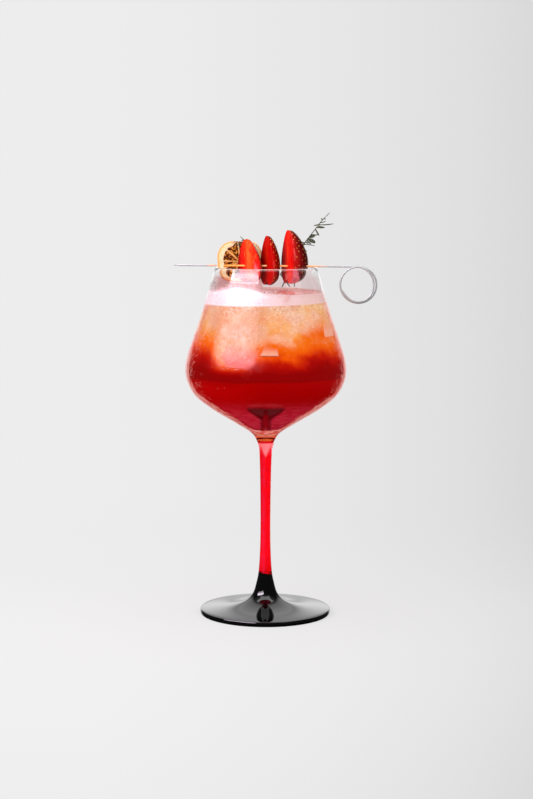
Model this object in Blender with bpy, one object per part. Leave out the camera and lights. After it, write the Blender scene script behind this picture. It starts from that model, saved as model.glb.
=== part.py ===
"""Berry hibiscus iced tea in a stemmed glass, with a fruit skewer laid across the rim.

The glass is turned from three gathers: a clear bowl, a red stem and a black foot. It holds a red
lower drink, an orange upper drink and a foam cap. A steel skewer with a ring at one end rests on the
rim and carries a dried citrus wheel and three strawberry halves, and three thyme sprigs stand behind.

Metres, +Z up. The origin is the centre of the foot's flat underside. +X is the skewer's ring end,
and -Y is the front.
"""

import math
import random

import bmesh
import bpy
import numpy as np
from mathutils import Matrix, Vector

MM = 0.001
GAP = 0.3 * MM

# Glass: radius and height along the outside, from the rim down
RIM_HEIGHT = 230.0 * MM
RIM_RADIUS = 33.7 * MM
BOWL_OUTLINE = (
    (RIM_RADIUS, RIM_HEIGHT),
    (40.2 * MM, 206.4 * MM),
    (46.9 * MM, 186.4 * MM),
    (51.6 * MM, 172.4 * MM),
    (53.1 * MM, 162.6 * MM),
    (51.6 * MM, 154.6 * MM),
    (46.6 * MM, 145.8 * MM),
    (36.2 * MM, 137.4 * MM),
    (22.6 * MM, 129.1 * MM),
    (12.4 * MM, 123.0 * MM),
    (8.0 * MM, 119.4 * MM),
    (5.9 * MM, 115.8 * MM),
)
STEM_OUTLINE = (
    (5.9 * MM, 115.8 * MM),
    (4.4 * MM, 110.6 * MM),
    (3.85 * MM, 100.0 * MM),
    (3.5 * MM, 84.0 * MM),
    (3.3 * MM, 60.0 * MM),
    (3.55 * MM, 43.0 * MM),
    (4.4 * MM, 28.4 * MM),
)
FOOT_OUTLINE = (
    (4.4 * MM, 28.4 * MM),
    (5.9 * MM, 20.4 * MM),
    (8.3 * MM, 13.0 * MM),
    (13.5 * MM, 8.2 * MM),
    (24.0 * MM, 5.2 * MM),
    (42.4 * MM, 3.3 * MM),
)
FOOT_RADIUS = 43.3 * MM
FOOT_EDGE_HEIGHT = 3.3 * MM
WALL_AT_RIM = 1.3 * MM
WALL_AT_BASE = 2.2 * MM
INSIDE_BOTTOM = 121.8 * MM
BOWL_JOINT_HEIGHT = 116.2 * MM
FOOT_JOINT_HEIGHT = 26.8 * MM
FOOT_JOINT_SLANT = math.radians(11.0)
TURNING_STEPS = 44
STEM_STEPS = 22
OUTLINE_TOLERANCE = 0.15 * MM

# Drink: level where the red and orange layers meet, level of the foam's underside, foam's top
RED_LEVEL = 179.0 * MM
DRINK_LEVEL = 206.6 * MM
FOAM_LEVEL = 214.2 * MM
FOAM_TILT = 0.02
FOAM_HUMP_HEIGHT = 4.0 * MM
FOAM_HUMP_AT = (-19.0 * MM, -31.0 * MM)
FOAM_HUMP_SPREAD = 13.0 * MM

# Skewer, along X in its own frame, which is turned so that the ring comes a little forward
WIRE_RADIUS = 0.7 * MM
SKEWER_TURN = math.radians(-9.0)
SKEWER_HEIGHT = RIM_HEIGHT + GAP + WIRE_RADIUS
SKEWER_TIP_X = -62.0 * MM
TIP_TAPER = 5.0 * MM
RING_CENTRE_X = 60.7 * MM
RING_RADIUS = 11.75 * MM
RING_SHRINK = 1.7 * MM
RING_DROP = 0.8 * MM
RING_TURNS = 1.64
RING_PITCH = 2 * WIRE_RADIUS + GAP
TAIL_LENGTH = 5.6 * MM
BORE_RADIUS = WIRE_RADIUS + GAP

# Dried citrus wheel
WHEEL_HALF_WIDTH = 15.6 * MM
WHEEL_HALF_HEIGHT = 13.5 * MM
WHEEL_CORNERS = 0.12
WHEEL_THICKNESS = 1.9 * MM
WHEEL_CENTRE_X = -18.3 * MM
WHEEL_PIERCED_X = -27.6 * MM
WHEEL_CENTRE_HEIGHT = 233.4 * MM
WHEEL_TURN = math.radians(31.0)
WHEEL_SEGMENTS = 9
POCKET_DEPTH = 0.55 * MM
WHEEL_WARP = 0.35 * MM

# Strawberry halves: base point on the skewer's frame, half width, depth, height, turn of the cut
# face to the left, and how far the tip leans to the right
STRAWBERRIES = {
    "strawberry_left": dict(x=-10.9 * MM, y=-2.2 * MM, bottom=218.9 * MM, width=9.0 * MM,
                            depth=8.4 * MM, height=29.6 * MM, turn=27.0, lean=-2.2 * MM, seed=3),
    "strawberry_middle": dict(x=0.0 * MM, y=0.0 * MM, bottom=217.5 * MM, width=9.3 * MM,
                              depth=9.4 * MM, height=33.2 * MM, turn=54.0, lean=0.9 * MM, seed=5),
    "strawberry_right": dict(x=13.8 * MM, y=0.0 * MM, bottom=218.7 * MM, width=11.3 * MM,
                             depth=14.3 * MM, height=35.8 * MM, turn=61.0, lean=1.4 * MM, seed=8),
}
# Outline of a berry as shares of its height and its half width, from the hulled end to the tip
BERRY_OUTLINE = (
    (0.0, 0.0), (0.03, 0.42), (0.11, 0.78), (0.23, 0.95), (0.36, 1.0), (0.52, 0.93),
    (0.68, 0.75), (0.82, 0.53), (0.93, 0.30), (0.985, 0.13), (1.0, 0.0),
)
BERRY_STEPS = 12
HULL_RADIUS = 3.4 * MM
HULL_DEPTH = 4.2 * MM
SEEDS_PER_BERRY = 20
SEED_LENGTH = 1.3 * MM
SEED_WIDTH = 0.9 * MM
SEED_PROUD = 0.28 * MM

# Thyme sprigs: stem in millimetres from its foot, which stands on the foam, to its tip. A leaf has
# its share of the way along the stem, its direction in degrees seen from the front (0 to the right,
# 90 up), how far it leans to the front, its length and its width.
THYME = {
    "thyme_right": dict(
        stem=((10.4, 12.8, 216.0), (15.0, 13.2, 226.0), (20.4, 12.6, 237.4), (24.0, 11.6, 244.0),
              (28.6, 10.6, 250.2), (33.8, 9.6, 257.0), (36.9, 9.0, 261.0), (41.8, 8.4, 265.8)),
        leaves=((0.30, 170, -0.6, 3.0, 1.4), (0.33, 10, -0.6, 3.0, 1.4), (0.405, -40, 0.3, 5.2, 0.9),
                (0.445, -7, -0.6, 10.0, 0.8), (0.465, 155, 0.3, 2.2, 1.1), (0.485, -30, 0.5, 2.8, 1.2),
                (0.51, -40, 0.2, 4.3, 1.4), (0.535, -28, -0.2, 6.4, 3.0), (0.555, 19, -0.5, 5.6, 2.9),
                (0.578, 5, -0.9, 9.2, 0.8), (0.67, -61, 0.1, 5.6, 1.5), (0.695, -1, 0.2, 5.9, 1.7),
                (0.715, -25, 0.8, 3.4, 1.7), (0.738, 4, -0.2, 11.2, 1.0), (0.755, 199, -0.3, 4.2, 1.2),
                (0.78, 17, -0.5, 5.2, 0.9), (0.85, 120, 0.3, 1.8, 1.0), (0.875, 0, 0.4, 2.0, 0.9)),
    ),
    "thyme_left": dict(
        stem=((16.2, 18.0, 216.0), (9.0, 18.8, 224.6), (0.5, 19.2, 233.4), (-7.6, 18.4, 241.0),
              (-13.4, 17.2, 246.2), (-17.4, 16.4, 249.8)),
        leaves=((0.33, 200, -0.6, 3.2, 1.5), (0.36, 60, -0.6, 3.2, 1.5), (0.50, 195, -0.6, 3.4, 1.6),
                (0.58, 84, 0.1, 4.9, 1.5), (0.71, 210, -0.5, 3.0, 1.4), (0.86, 190, -0.3, 2.2, 1.1)),
    ),
    "thyme_middle": dict(
        stem=((19.0, 21.0, 216.0), (19.3, 21.2, 226.0), (20.3, 20.6, 235.6), (20.8, 19.2, 246.4)),
        leaves=((0.45, 160, -0.5, 3.4, 1.6), (0.46, 20, -0.5, 3.4, 1.6), (0.66, 140, -0.6, 3.2, 1.5),
                (0.67, 40, -0.6, 3.2, 1.5), (0.86, 150, -0.5, 2.8, 1.3), (0.87, 35, -0.5, 2.8, 1.3)),
    ),
}
THYME_STEM_RADIUS = 0.45 * MM
LEAF_THICKNESS = 0.36 * MM
LEAF_ROLL = math.radians(30.0)


def clear_scene():
    for existing in list(bpy.data.objects):
        bpy.data.objects.remove(existing, do_unlink=True)


def make_material(name, colour, roughness, metallic=0.0, transmission=0.0):
    material = bpy.data.materials.new(name)
    material.use_nodes = True
    shader = material.node_tree.nodes["Principled BSDF"]
    shader.inputs["Base Color"].default_value = (*colour, 1.0)
    shader.inputs["Roughness"].default_value = roughness
    shader.inputs["Metallic"].default_value = metallic
    shader.inputs["Transmission Weight"].default_value = transmission
    return material


def add_object(name, data, material=None, parent=None):
    obj = bpy.data.objects.new(name, data)
    bpy.context.scene.collection.objects.link(obj)
    if material is not None:
        data.materials.append(material)
    obj.parent = parent
    return obj


def mesh_from(name, shape):
    """Turns a bmesh into a mesh whose faces point outwards, and frees it."""
    bmesh.ops.recalc_face_normals(shape, faces=shape.faces)
    mesh = bpy.data.meshes.new(name)
    shape.to_mesh(mesh)
    shape.free()
    return mesh


def shade_round(obj, sharp_over=40.0):
    obj.data.shade_smooth()
    obj.data.set_sharp_from_angle(angle=math.radians(sharp_over))


def hide_cutter(obj):
    obj.hide_render = True
    obj.display_type = "WIRE"


def smooth_line(points, per_span):
    """A Catmull-Rom curve through the points, with per_span steps between each two."""
    knots = [np.array(p, dtype=float) for p in points]
    before = 2 * knots[0] - knots[1]
    after = 2 * knots[-1] - knots[-2]
    knots = [before, *knots, after]
    line = []
    for a, b, c, d in zip(knots, knots[1:], knots[2:], knots[3:]):
        for step in range(per_span):
            t = step / per_span
            point = 0.5 * (2 * b + (c - a) * t + (2 * a - 5 * b + 4 * c - d) * t**2
                           + (3 * b - a - 3 * c + d) * t**3)
            line.append(point)
    line.append(knots[-2])
    return line


def thinned(line, tolerance=OUTLINE_TOLERANCE):
    """Keeps only the points that an outline needs to stay within the tolerance of its curve."""
    line = np.array(line)
    start, end = line[0], line[-1]
    along = (end - start) / np.linalg.norm(end - start)
    away = line - start
    off = np.abs(away[:, 0] * along[1] - away[:, 1] * along[0])
    worst = int(off.argmax())
    if off[worst] <= tolerance:
        return np.array([start, end])
    return np.vstack([thinned(line[:worst + 1], tolerance)[:-1], thinned(line[worst:], tolerance)])


def offset_inwards(line, distances):
    """Moves each point of an outline towards the axis, at right angles to the outline."""
    line = np.array(line)
    along = np.gradient(line, axis=0)
    along /= np.linalg.norm(along, axis=1)[:, None]
    inwards = np.stack([along[:, 1], -along[:, 0]], axis=1)
    return line + inwards * np.array(distances)[:, None]


def inside_of_bowl():
    """Radius and height along the bowl's inner wall, from the rim to the middle of its bottom."""
    outer = np.array(smooth_line(BOWL_OUTLINE[:10], 6))
    share = (RIM_HEIGHT - outer[:, 1]) / (RIM_HEIGHT - INSIDE_BOTTOM)
    wall = WALL_AT_RIM + (WALL_AT_BASE - WALL_AT_RIM) * share
    inner = offset_inwards(outer, wall)
    inner = thinned(inner[inner[:, 0] > 9 * MM])
    bottom = [(5.0 * MM, INSIDE_BOTTOM + 0.7 * MM), (0.0, INSIDE_BOTTOM)]
    return np.vstack([inner, bottom])


def contents_outline():
    """The bowl's inner wall, moved in by the gap that the contents keep to it."""
    wall = inside_of_bowl()
    line = offset_inwards(wall, [GAP] * len(wall))
    line[-1] = (0.0, INSIDE_BOTTOM + GAP)
    return line


CONTENTS = contents_outline()


def contents_radius(height):
    return float(np.interp(height, CONTENTS[::-1, 1], CONTENTS[::-1, 0]))


def turned(profile, steps, angle=2 * math.pi):
    """A solid of revolution about Z. The profile starts and ends on the axis."""
    shape = bmesh.new()
    verts = [shape.verts.new((r, 0.0, z)) for r, z in profile]
    edges = [shape.edges.new(pair) for pair in zip(verts, verts[1:])]
    bmesh.ops.spin(shape, geom=verts + edges, cent=(0, 0, 0), axis=(0, 0, 1),
                   angle=angle, steps=steps)
    bmesh.ops.remove_doubles(shape, verts=shape.verts, dist=0.001 * MM)
    return shape


def cut_away(shape, point, normal):
    """Removes what lies on the normal's side of a plane, and closes the cut with a flat face."""
    geometry = shape.verts[:] + shape.edges[:] + shape.faces[:]
    cut = bmesh.ops.bisect_plane(shape, geom=geometry, plane_co=point, plane_no=normal,
                                 clear_outer=True)
    rim = [g for g in cut["geom_cut"] if isinstance(g, bmesh.types.BMEdge)]
    bmesh.ops.holes_fill(shape, edges=rim, sides=0)


def foot_joint():
    """A point on the slanted joint of foot and stem, and the joint's upward normal."""
    return (Vector((0, 0, FOOT_JOINT_HEIGHT)),
            Vector((math.sin(FOOT_JOINT_SLANT), 0, math.cos(FOOT_JOINT_SLANT))))


def make_bowl(material):
    outer = [tuple(p) for p in thinned(smooth_line(BOWL_OUTLINE, 6))]
    inner = [tuple(p) for p in inside_of_bowl()]
    outer_rim, inner_rim = outer[0], inner[0]
    lip_height = 0.45 * MM
    lip = [
        (inner_rim[0], RIM_HEIGHT - lip_height),
        (inner_rim[0] + 0.3 * MM, RIM_HEIGHT),
        (outer_rim[0] - 0.3 * MM, RIM_HEIGHT),
        (outer_rim[0] + 0.05 * MM, RIM_HEIGHT - lip_height),
    ]
    base = [(0.0, outer[-1][1])]
    profile = [*inner[:0:-1], *lip, *outer[1:], *base]
    shape = turned(profile, TURNING_STEPS)
    cut_away(shape, Vector((0, 0, BOWL_JOINT_HEIGHT)), Vector((0, 0, -1)))
    bowl = add_object("bowl", mesh_from("bowl", shape), material)
    shade_round(bowl)
    return bowl


def make_stem(material):
    route = (*BOWL_OUTLINE[-2:], *STEM_OUTLINE[1:], *FOOT_OUTLINE[1:2])
    outline = thinned(smooth_line(route, 6), OUTLINE_TOLERANCE / 3)
    profile = [(0.0, outline[0][1]), *map(tuple, outline), (0.0, outline[-1][1])]
    shape = turned(profile, STEM_STEPS)
    cut_away(shape, Vector((0, 0, BOWL_JOINT_HEIGHT - GAP)), Vector((0, 0, 1)))
    point, normal = foot_joint()
    cut_away(shape, point + normal * GAP, -normal)
    stem = add_object("stem", mesh_from("stem", shape), material)
    shade_round(stem)
    return stem


def make_foot(material):
    outline = thinned(smooth_line((STEM_OUTLINE[-2], *FOOT_OUTLINE), 6))
    half = FOOT_EDGE_HEIGHT / 2
    edge = [
        (FOOT_RADIUS - 0.2 * MM, FOOT_EDGE_HEIGHT - 0.6 * MM),
        (FOOT_RADIUS, half),
        (FOOT_RADIUS - 0.2 * MM, 0.6 * MM),
        (FOOT_RADIUS - 0.8 * MM, 0.0),
    ]
    profile = [(0.0, outline[0][1]), *map(tuple, outline), *edge, (0.0, 0.0)]
    shape = turned(profile, TURNING_STEPS)
    point, normal = foot_joint()
    cut_away(shape, point, normal)
    foot = add_object("foot", mesh_from("foot", shape), material)
    shade_round(foot)
    return foot


def red_surface(x, y):
    """Wavy surface where the red drink gives way to the orange."""
    return 1.2 * MM * math.sin(x / (11 * MM) + 0.6) * math.cos(y / (14 * MM) - 0.4) - 0.012 * x


def drink_surface(x, y):
    """The foam's underside, a little higher at the ring end."""
    return FOAM_TILT * x


def foam_surface(x, y):
    """The foam's top: a hump at the front left, a low swell behind and small unevenness."""
    hump_x, hump_y = FOAM_HUMP_AT
    distance = math.hypot(x - hump_x, y - hump_y) / FOAM_HUMP_SPREAD
    hump = FOAM_HUMP_HEIGHT * math.exp(-0.5 * distance**2)
    swell = 0.6 * MM * math.sin(y / (24 * MM))
    ripple = 0.25 * MM * math.sin(x / (4.5 * MM) + 1.0) * math.sin(y / (5.5 * MM))
    return hump + swell + ripple


def flat_surface(x, y):
    return 0.0


def make_layer(name, material, low, low_surface, high, high_surface, rings):
    """A layer of the contents between two levels, its faces shaped by their surface functions."""
    wall = [(r, z) for r, z in CONTENTS[::-1] if low + 1 * MM < z < high - 1 * MM]
    low_radius, high_radius = contents_radius(low), contents_radius(high)
    shares = [k / rings for k in range(rings + 1)]
    floor = [(low_radius * s, low) for s in shares] if low_radius > 1 * MM else [(0.0, low)]
    ceiling = [(high_radius * s, high) for s in reversed(shares)]
    shape = turned([*floor, *wall, *ceiling], TURNING_STEPS)
    for vert in shape.verts:
        x, y, z = vert.co
        share = (z - low) / (high - low)
        rise = (1 - share) * low_surface(x, y) + share * high_surface(x, y)
        stretch = contents_radius(z + rise) / contents_radius(z) if z > INSIDE_BOTTOM + 2 * MM else 1.0
        vert.co = (x * stretch, y * stretch, z + rise)
    layer = add_object(name, mesh_from(name, shape), material)
    shade_round(layer, 50.0)
    return layer


def skewer_route():
    """Points along the wire, with its radius at each: tip, straight run, ring and tail."""
    route = [((SKEWER_TIP_X, 0.0, 0.0), 0.35), ((SKEWER_TIP_X + TIP_TAPER, 0.0, 0.0), 1.0)]
    straight_to = RING_CENTRE_X - 2 * MM
    for share in (0.3, 0.6, 1.0):
        x = SKEWER_TIP_X + TIP_TAPER + (straight_to - SKEWER_TIP_X - TIP_TAPER) * share
        route.append(((x, 0.0, 0.0), 1.0))
    steps = round(RING_TURNS * 28)
    for step in range(steps + 1):
        turn = RING_TURNS * step / steps
        angle = math.pi / 2 - 2 * math.pi * turn
        tightened = min(max((turn - 1.0) / 0.25, 0.0), 1.0)
        radius = RING_RADIUS - RING_SHRINK * tightened
        x = RING_CENTRE_X + radius * math.cos(angle)
        z = -RING_RADIUS - RING_DROP * tightened + radius * math.sin(angle)
        route.append(((x, -RING_PITCH * turn, z), 1.0))
    last = Vector(route[-1][0])
    ahead = Vector((math.sin(angle), 0.0, -math.cos(angle)))
    for share in (0.35, 0.7, 1.0):
        route.append((tuple(last + ahead * TAIL_LENGTH * share), 1.0))
    return route


def make_skewer(material, parent):
    curve = bpy.data.curves.new("skewer", "CURVE")
    curve.dimensions = "3D"
    curve.bevel_depth = WIRE_RADIUS
    curve.bevel_resolution = 3
    curve.use_fill_caps = True
    route = skewer_route()
    spline = curve.splines.new("POLY")
    spline.points.add(len(route) - 1)
    for point, (place, radius) in zip(spline.points, route):
        point.co = (*place, 1.0)
        point.radius = radius
    spline.use_smooth = True
    return add_object("skewer", curve, material, parent)


def wheel_radius(angle):
    """Uneven edge of a dried slice, as a share of its half width or half height."""
    squared = WHEEL_CORNERS * math.sin(2 * angle)**2
    return 1.0 + squared + 0.010 * math.sin(3 * angle + 0.7) + 0.010 * math.sin(7 * angle)


def wheel_point(share, angle, side, depth):
    """A point of the wheel's front (side -1) or back (side 1), before it is turned."""
    reach = share * wheel_radius(angle)
    x = WHEEL_HALF_WIDTH * reach * math.cos(angle)
    z = WHEEL_HALF_HEIGHT * reach * math.sin(angle)
    warp = WHEEL_WARP * reach**2 * math.cos(2 * angle)
    return x, side * (WHEEL_THICKNESS / 2 - depth) + warp, z


def wheel_face(shape, side):
    """One face: hub, sunken segments between raised membranes, pith and rind. Returns its rim."""
    columns = (0.0, 0.16, 0.5, 0.84)
    rings = ((0.10, 0.0), (0.22, 1.0), (0.66, 1.0), (0.76, 0.0), (0.95, 0.0), (1.0, 0.45))
    hub = shape.verts.new(wheel_point(0.0, 0.0, side, 0.0))
    loops = []
    for share, sunk in rings:
        loop = []
        for segment in range(WHEEL_SEGMENTS):
            for column in columns:
                angle = 2 * math.pi * (segment + column) / WHEEL_SEGMENTS + 0.3
                in_pocket = 0.0 < column and share < 0.9
                depth = POCKET_DEPTH * sunk if in_pocket or share == 1.0 else 0.0
                loop.append(shape.verts.new(wheel_point(share, angle, side, depth)))
        loops.append(loop)
    count = len(loops[0])
    for k in range(count):
        shape.faces.new((hub, loops[0][k], loops[0][(k + 1) % count]))
    for inner, outer in zip(loops, loops[1:]):
        for k in range(count):
            shape.faces.new((inner[k], outer[k], outer[(k + 1) % count], inner[(k + 1) % count]))
    return loops[-1]


def make_wheel(material, parent):
    shape = bmesh.new()
    front, back = wheel_face(shape, -1), wheel_face(shape, 1)
    for k in range(len(front)):
        n = (k + 1) % len(front)
        shape.faces.new((front[k], back[k], back[n], front[n]))
    wheel = add_object("citrus_wheel", mesh_from("citrus_wheel", shape), material, parent)
    wheel.location = (WHEEL_CENTRE_X, (WHEEL_CENTRE_X - WHEEL_PIERCED_X) * math.tan(WHEEL_TURN),
                      WHEEL_CENTRE_HEIGHT - SKEWER_HEIGHT)
    wheel.rotation_euler = (0, 0, WHEEL_TURN)
    shade_round(wheel, 30.0)
    return wheel


def berry_half(width, depth, height, lean):
    """The back half of a berry, tip up, standing on the origin with its cut face to the front."""
    outline = [(width * r, height * z) for z, r in BERRY_OUTLINE]
    shape = turned(outline, BERRY_STEPS, math.pi)
    bmesh.ops.holes_fill(shape, edges=[e for e in shape.edges if e.is_boundary], sides=0)
    for vert in shape.verts:
        share = vert.co.z / height
        angle = math.atan2(vert.co.y, vert.co.x)
        uneven = 1.0 + 0.02 * math.sin(3 * angle + 5 * share)
        vert.co.x = vert.co.x * uneven + lean * share**2
        vert.co.y = vert.co.y * uneven * depth / width
    return shape


def berry_seeds(name, width, depth, height, lean, seed):
    """Achenes on the skin in a spiral, each a small drop that stands a little proud."""
    draw = random.Random(seed)
    group = bpy.data.collections.new(name + " seeds")
    golden = math.pi * (3 - math.sqrt(5))
    outline = np.array(BERRY_OUTLINE)
    for k in range(SEEDS_PER_BERRY * 2):
        share = 0.14 + 0.76 * (k + 0.5) / (SEEDS_PER_BERRY * 2)
        angle = k * golden + draw.uniform(-0.12, 0.12)
        reach = float(np.interp(share, outline[:, 0], outline[:, 1]))
        uneven = 1.0 + 0.02 * math.sin(3 * angle + 5 * share)
        place = Vector((width * reach * uneven * math.cos(angle) + lean * share**2,
                        depth * reach * uneven * math.sin(angle), height * share))
        if place.y < SEED_LENGTH:
            continue
        below, above = np.interp((share - 0.03, share + 0.03), outline[:, 0], outline[:, 1])
        slope = float(below - above) * width / (0.06 * height)
        out = Vector((math.cos(angle) / width, math.sin(angle) / depth, slope / width)).normalized()
        drop = bmesh.new()
        bmesh.ops.create_icosphere(drop, subdivisions=1, radius=1.0)
        bmesh.ops.scale(drop, vec=(SEED_WIDTH / 2, SEED_PROUD * 1.6, SEED_LENGTH / 2), verts=drop.verts)
        turn = out.to_track_quat("Y", "Z").to_matrix().to_4x4()
        bmesh.ops.transform(drop, matrix=Matrix.Translation(place - out * SEED_PROUD * 0.5) @ turn,
                            verts=drop.verts)
        group.objects.link(bpy.data.objects.new(f"{name} seed {k}", mesh_from("seed", drop)))
    return group


def apply_modifiers(obj):
    """Replaces the object's mesh with its evaluated one."""
    depsgraph = bpy.context.evaluated_depsgraph_get()
    mesh = bpy.data.meshes.new_from_object(obj.evaluated_get(depsgraph))
    obj.modifiers.clear()
    obj.data = mesh


def fuse(obj, group, solver="EXACT"):
    """Joins the collection's solids to the object with one union, then removes them."""
    bpy.context.scene.collection.children.link(group)
    union = obj.modifiers.new("fused", "BOOLEAN")
    union.operation = "UNION"
    union.operand_type = "COLLECTION"
    union.collection = group
    union.solver = solver
    bpy.context.view_layer.update()
    apply_modifiers(obj)
    for piece in list(group.objects):
        bpy.data.objects.remove(piece, do_unlink=True)
    bpy.data.collections.remove(group)


def make_strawberry(name, berry, material, parent):
    shape = berry_half(berry["width"], berry["depth"], berry["height"], berry["lean"])
    strawberry = add_object(name, mesh_from(name, shape), material)
    seeds = berry_seeds(name, berry["width"], berry["depth"], berry["height"], berry["lean"],
                        berry["seed"])
    fuse(strawberry, seeds)
    strawberry.parent = parent
    strawberry.location = (berry["x"], berry["y"], berry["bottom"] - SKEWER_HEIGHT)
    strawberry.rotation_euler = (0, 0, -math.radians(berry["turn"]))
    scoop = bmesh.new()
    bmesh.ops.create_cone(scoop, cap_ends=True, segments=10, radius1=HULL_RADIUS, radius2=0.4 * MM,
                          depth=HULL_DEPTH)
    hull = add_object(name + " hull cutter", mesh_from("hull cutter", scoop), parent=strawberry)
    hull.location = (0, 0, HULL_DEPTH / 2 - 0.6 * MM)
    hide_cutter(hull)
    difference(strawberry, hull)
    shade_round(strawberry, 35.0)
    return strawberry


def difference(obj, cutter):
    cut = obj.modifiers.new("cut", "BOOLEAN")
    cut.operation = "DIFFERENCE"
    cut.solver = "EXACT"
    cut.object = cutter


def make_bore_cutter(parent):
    """A rod along the skewer that bores what is threaded on it."""
    rod = bmesh.new()
    length = 90 * MM
    bmesh.ops.create_cone(rod, cap_ends=True, segments=12, radius1=BORE_RADIUS, radius2=BORE_RADIUS,
                          depth=length, matrix=Matrix.Rotation(math.pi / 2, 4, "Y"))
    cutter = add_object("bore cutter", mesh_from("bore cutter", rod), parent=parent)
    hide_cutter(cutter)
    return cutter


def stem_shape(points, radius):
    """A six-sided thyme stem that thins towards its tip."""
    curve = bpy.data.curves.new("thyme stem", "CURVE")
    curve.dimensions = "3D"
    curve.bevel_depth = radius
    curve.bevel_resolution = 1
    curve.use_fill_caps = True
    line = smooth_line([[c * MM for c in p] for p in points], 2)
    spline = curve.splines.new("POLY")
    spline.points.add(len(line) - 1)
    for k, (point, place) in enumerate(zip(spline.points, line)):
        point.co = (*place, 1.0)
        point.radius = 1.0 - 0.5 * k / len(line)
    carrier = add_object("thyme stem", curve)
    bpy.context.view_layer.update()
    depsgraph = bpy.context.evaluated_depsgraph_get()
    shape = bmesh.new()
    shape.from_mesh(bpy.data.meshes.new_from_object(carrier.evaluated_get(depsgraph)))
    bmesh.ops.remove_doubles(shape, verts=shape.verts, dist=0.001 * MM)
    bpy.data.objects.remove(carrier, do_unlink=True)
    return mesh_from("thyme stem", shape), line


def leaf_mesh(length, width):
    """A thin wavy leaf along +X from the origin, its two faces split into triangles alike."""
    shape = bmesh.new()
    stations = ((0.0, 0.3), (0.38, 1.0), (0.78, 0.75))
    rows = []
    for share, spread in stations:
        lift = 0.12 * length * math.sin(math.pi * share)
        row = [shape.verts.new((length * share, width / 2 * spread * side,
                                lift - 0.18 * width * spread * abs(side) + 0.05 * width * side))
               for side in (-1, 0, 1)]
        rows.append(row)
    tip = shape.verts.new((length, 0.0, -0.05 * length))
    for first, second in zip(rows, rows[1:]):
        for k in range(2):
            shape.faces.new((first[k], second[k], second[k + 1], first[k + 1]))
    for k in range(2):
        shape.faces.new((rows[-1][k], tip, rows[-1][k + 1]))
    bmesh.ops.triangulate(shape, faces=shape.faces)
    bmesh.ops.solidify(shape, geom=shape.faces[:], thickness=LEAF_THICKNESS)
    return mesh_from("thyme leaf", shape)


def make_thyme(name, sprig, material):
    mesh, line = stem_shape(sprig["stem"], THYME_STEM_RADIUS)
    thyme = add_object(name, mesh, material)
    group = bpy.data.collections.new(name + " leaves")
    draw = random.Random(len(sprig["leaves"]))
    for share, direction, lean, length, width in sprig["leaves"]:
        at = share * (len(line) - 1)
        low = int(at)
        place = Vector(line[low]).lerp(Vector(line[low + 1]), at - low)
        angle = math.radians(direction)
        along = Vector((math.cos(angle), -lean, math.sin(angle))).normalized()
        roll = Matrix.Rotation(draw.uniform(-LEAF_ROLL, LEAF_ROLL), 4, "X")
        turn = along.to_track_quat("X", "Y").to_matrix().to_4x4() @ roll
        leaf = bpy.data.objects.new(f"{name} leaf", leaf_mesh(length * MM, width * MM))
        leaf.data.transform(Matrix.Translation(place) @ turn)
        group.objects.link(leaf)
    fuse(thyme, group, "MANIFOLD")
    return thyme


def main():
    clear_scene()
    clear_glass = make_material("clear glass", (1.0, 1.0, 1.0), 0.02, transmission=1.0)
    red_glass = make_material("red glass", (0.80, 0.01, 0.03), 0.05, transmission=0.6)
    black_glass = make_material("black glass", (0.006, 0.006, 0.008), 0.05)
    steel = make_material("steel wire", (0.55, 0.55, 0.55), 0.25, metallic=1.0)
    red_drink = make_material("hibiscus tea", (0.36, 0.0, 0.0), 0.1)
    orange_drink = make_material("berry juice", (1.0, 0.35, 0.12), 0.1)
    foam_white = make_material("foam", (0.95, 0.84, 0.86), 0.7)
    dried_citrus = make_material("dried citrus", (0.75, 0.42, 0.12), 0.6)
    strawberry_red = make_material("strawberry", (0.65, 0.01, 0.01), 0.3)
    thyme_green = make_material("thyme", (0.10, 0.11, 0.06), 0.7)

    make_bowl(clear_glass)
    make_stem(red_glass)
    make_foot(black_glass)
    make_layer("drink_red", red_drink, INSIDE_BOTTOM + GAP, flat_surface, RED_LEVEL, red_surface, 4)
    make_layer("drink_orange", orange_drink, RED_LEVEL + GAP, red_surface, DRINK_LEVEL, drink_surface, 4)
    make_layer("foam", foam_white, DRINK_LEVEL + GAP, drink_surface, FOAM_LEVEL, foam_surface, 5)

    skewer_axis = add_object("skewer axis", None)
    skewer_axis.location = (0, 0, SKEWER_HEIGHT)
    skewer_axis.rotation_euler = (0, 0, SKEWER_TURN)
    make_skewer(steel, skewer_axis)
    bore = make_bore_cutter(skewer_axis)
    wheel = make_wheel(dried_citrus, skewer_axis)
    difference(wheel, bore)
    for name, berry in STRAWBERRIES.items():
        strawberry = make_strawberry(name, berry, strawberry_red, skewer_axis)
        difference(strawberry, bore)
    for name, sprig in THYME.items():
        make_thyme(name, sprig, thyme_green)


main()
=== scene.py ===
"""Look of a berry hibiscus iced tea in a stemmed glass, with a fruit skewer laid across the rim.

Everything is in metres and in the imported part's own frame: the origin is the centre of the foot's
flat underside, +Z is up, -Y is the front and +X is the skewer's ring end.
"""

import math
import random
from contextlib import contextmanager

import bpy
import numpy as np
from mathutils import Matrix, Vector, noise as noise_field


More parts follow.
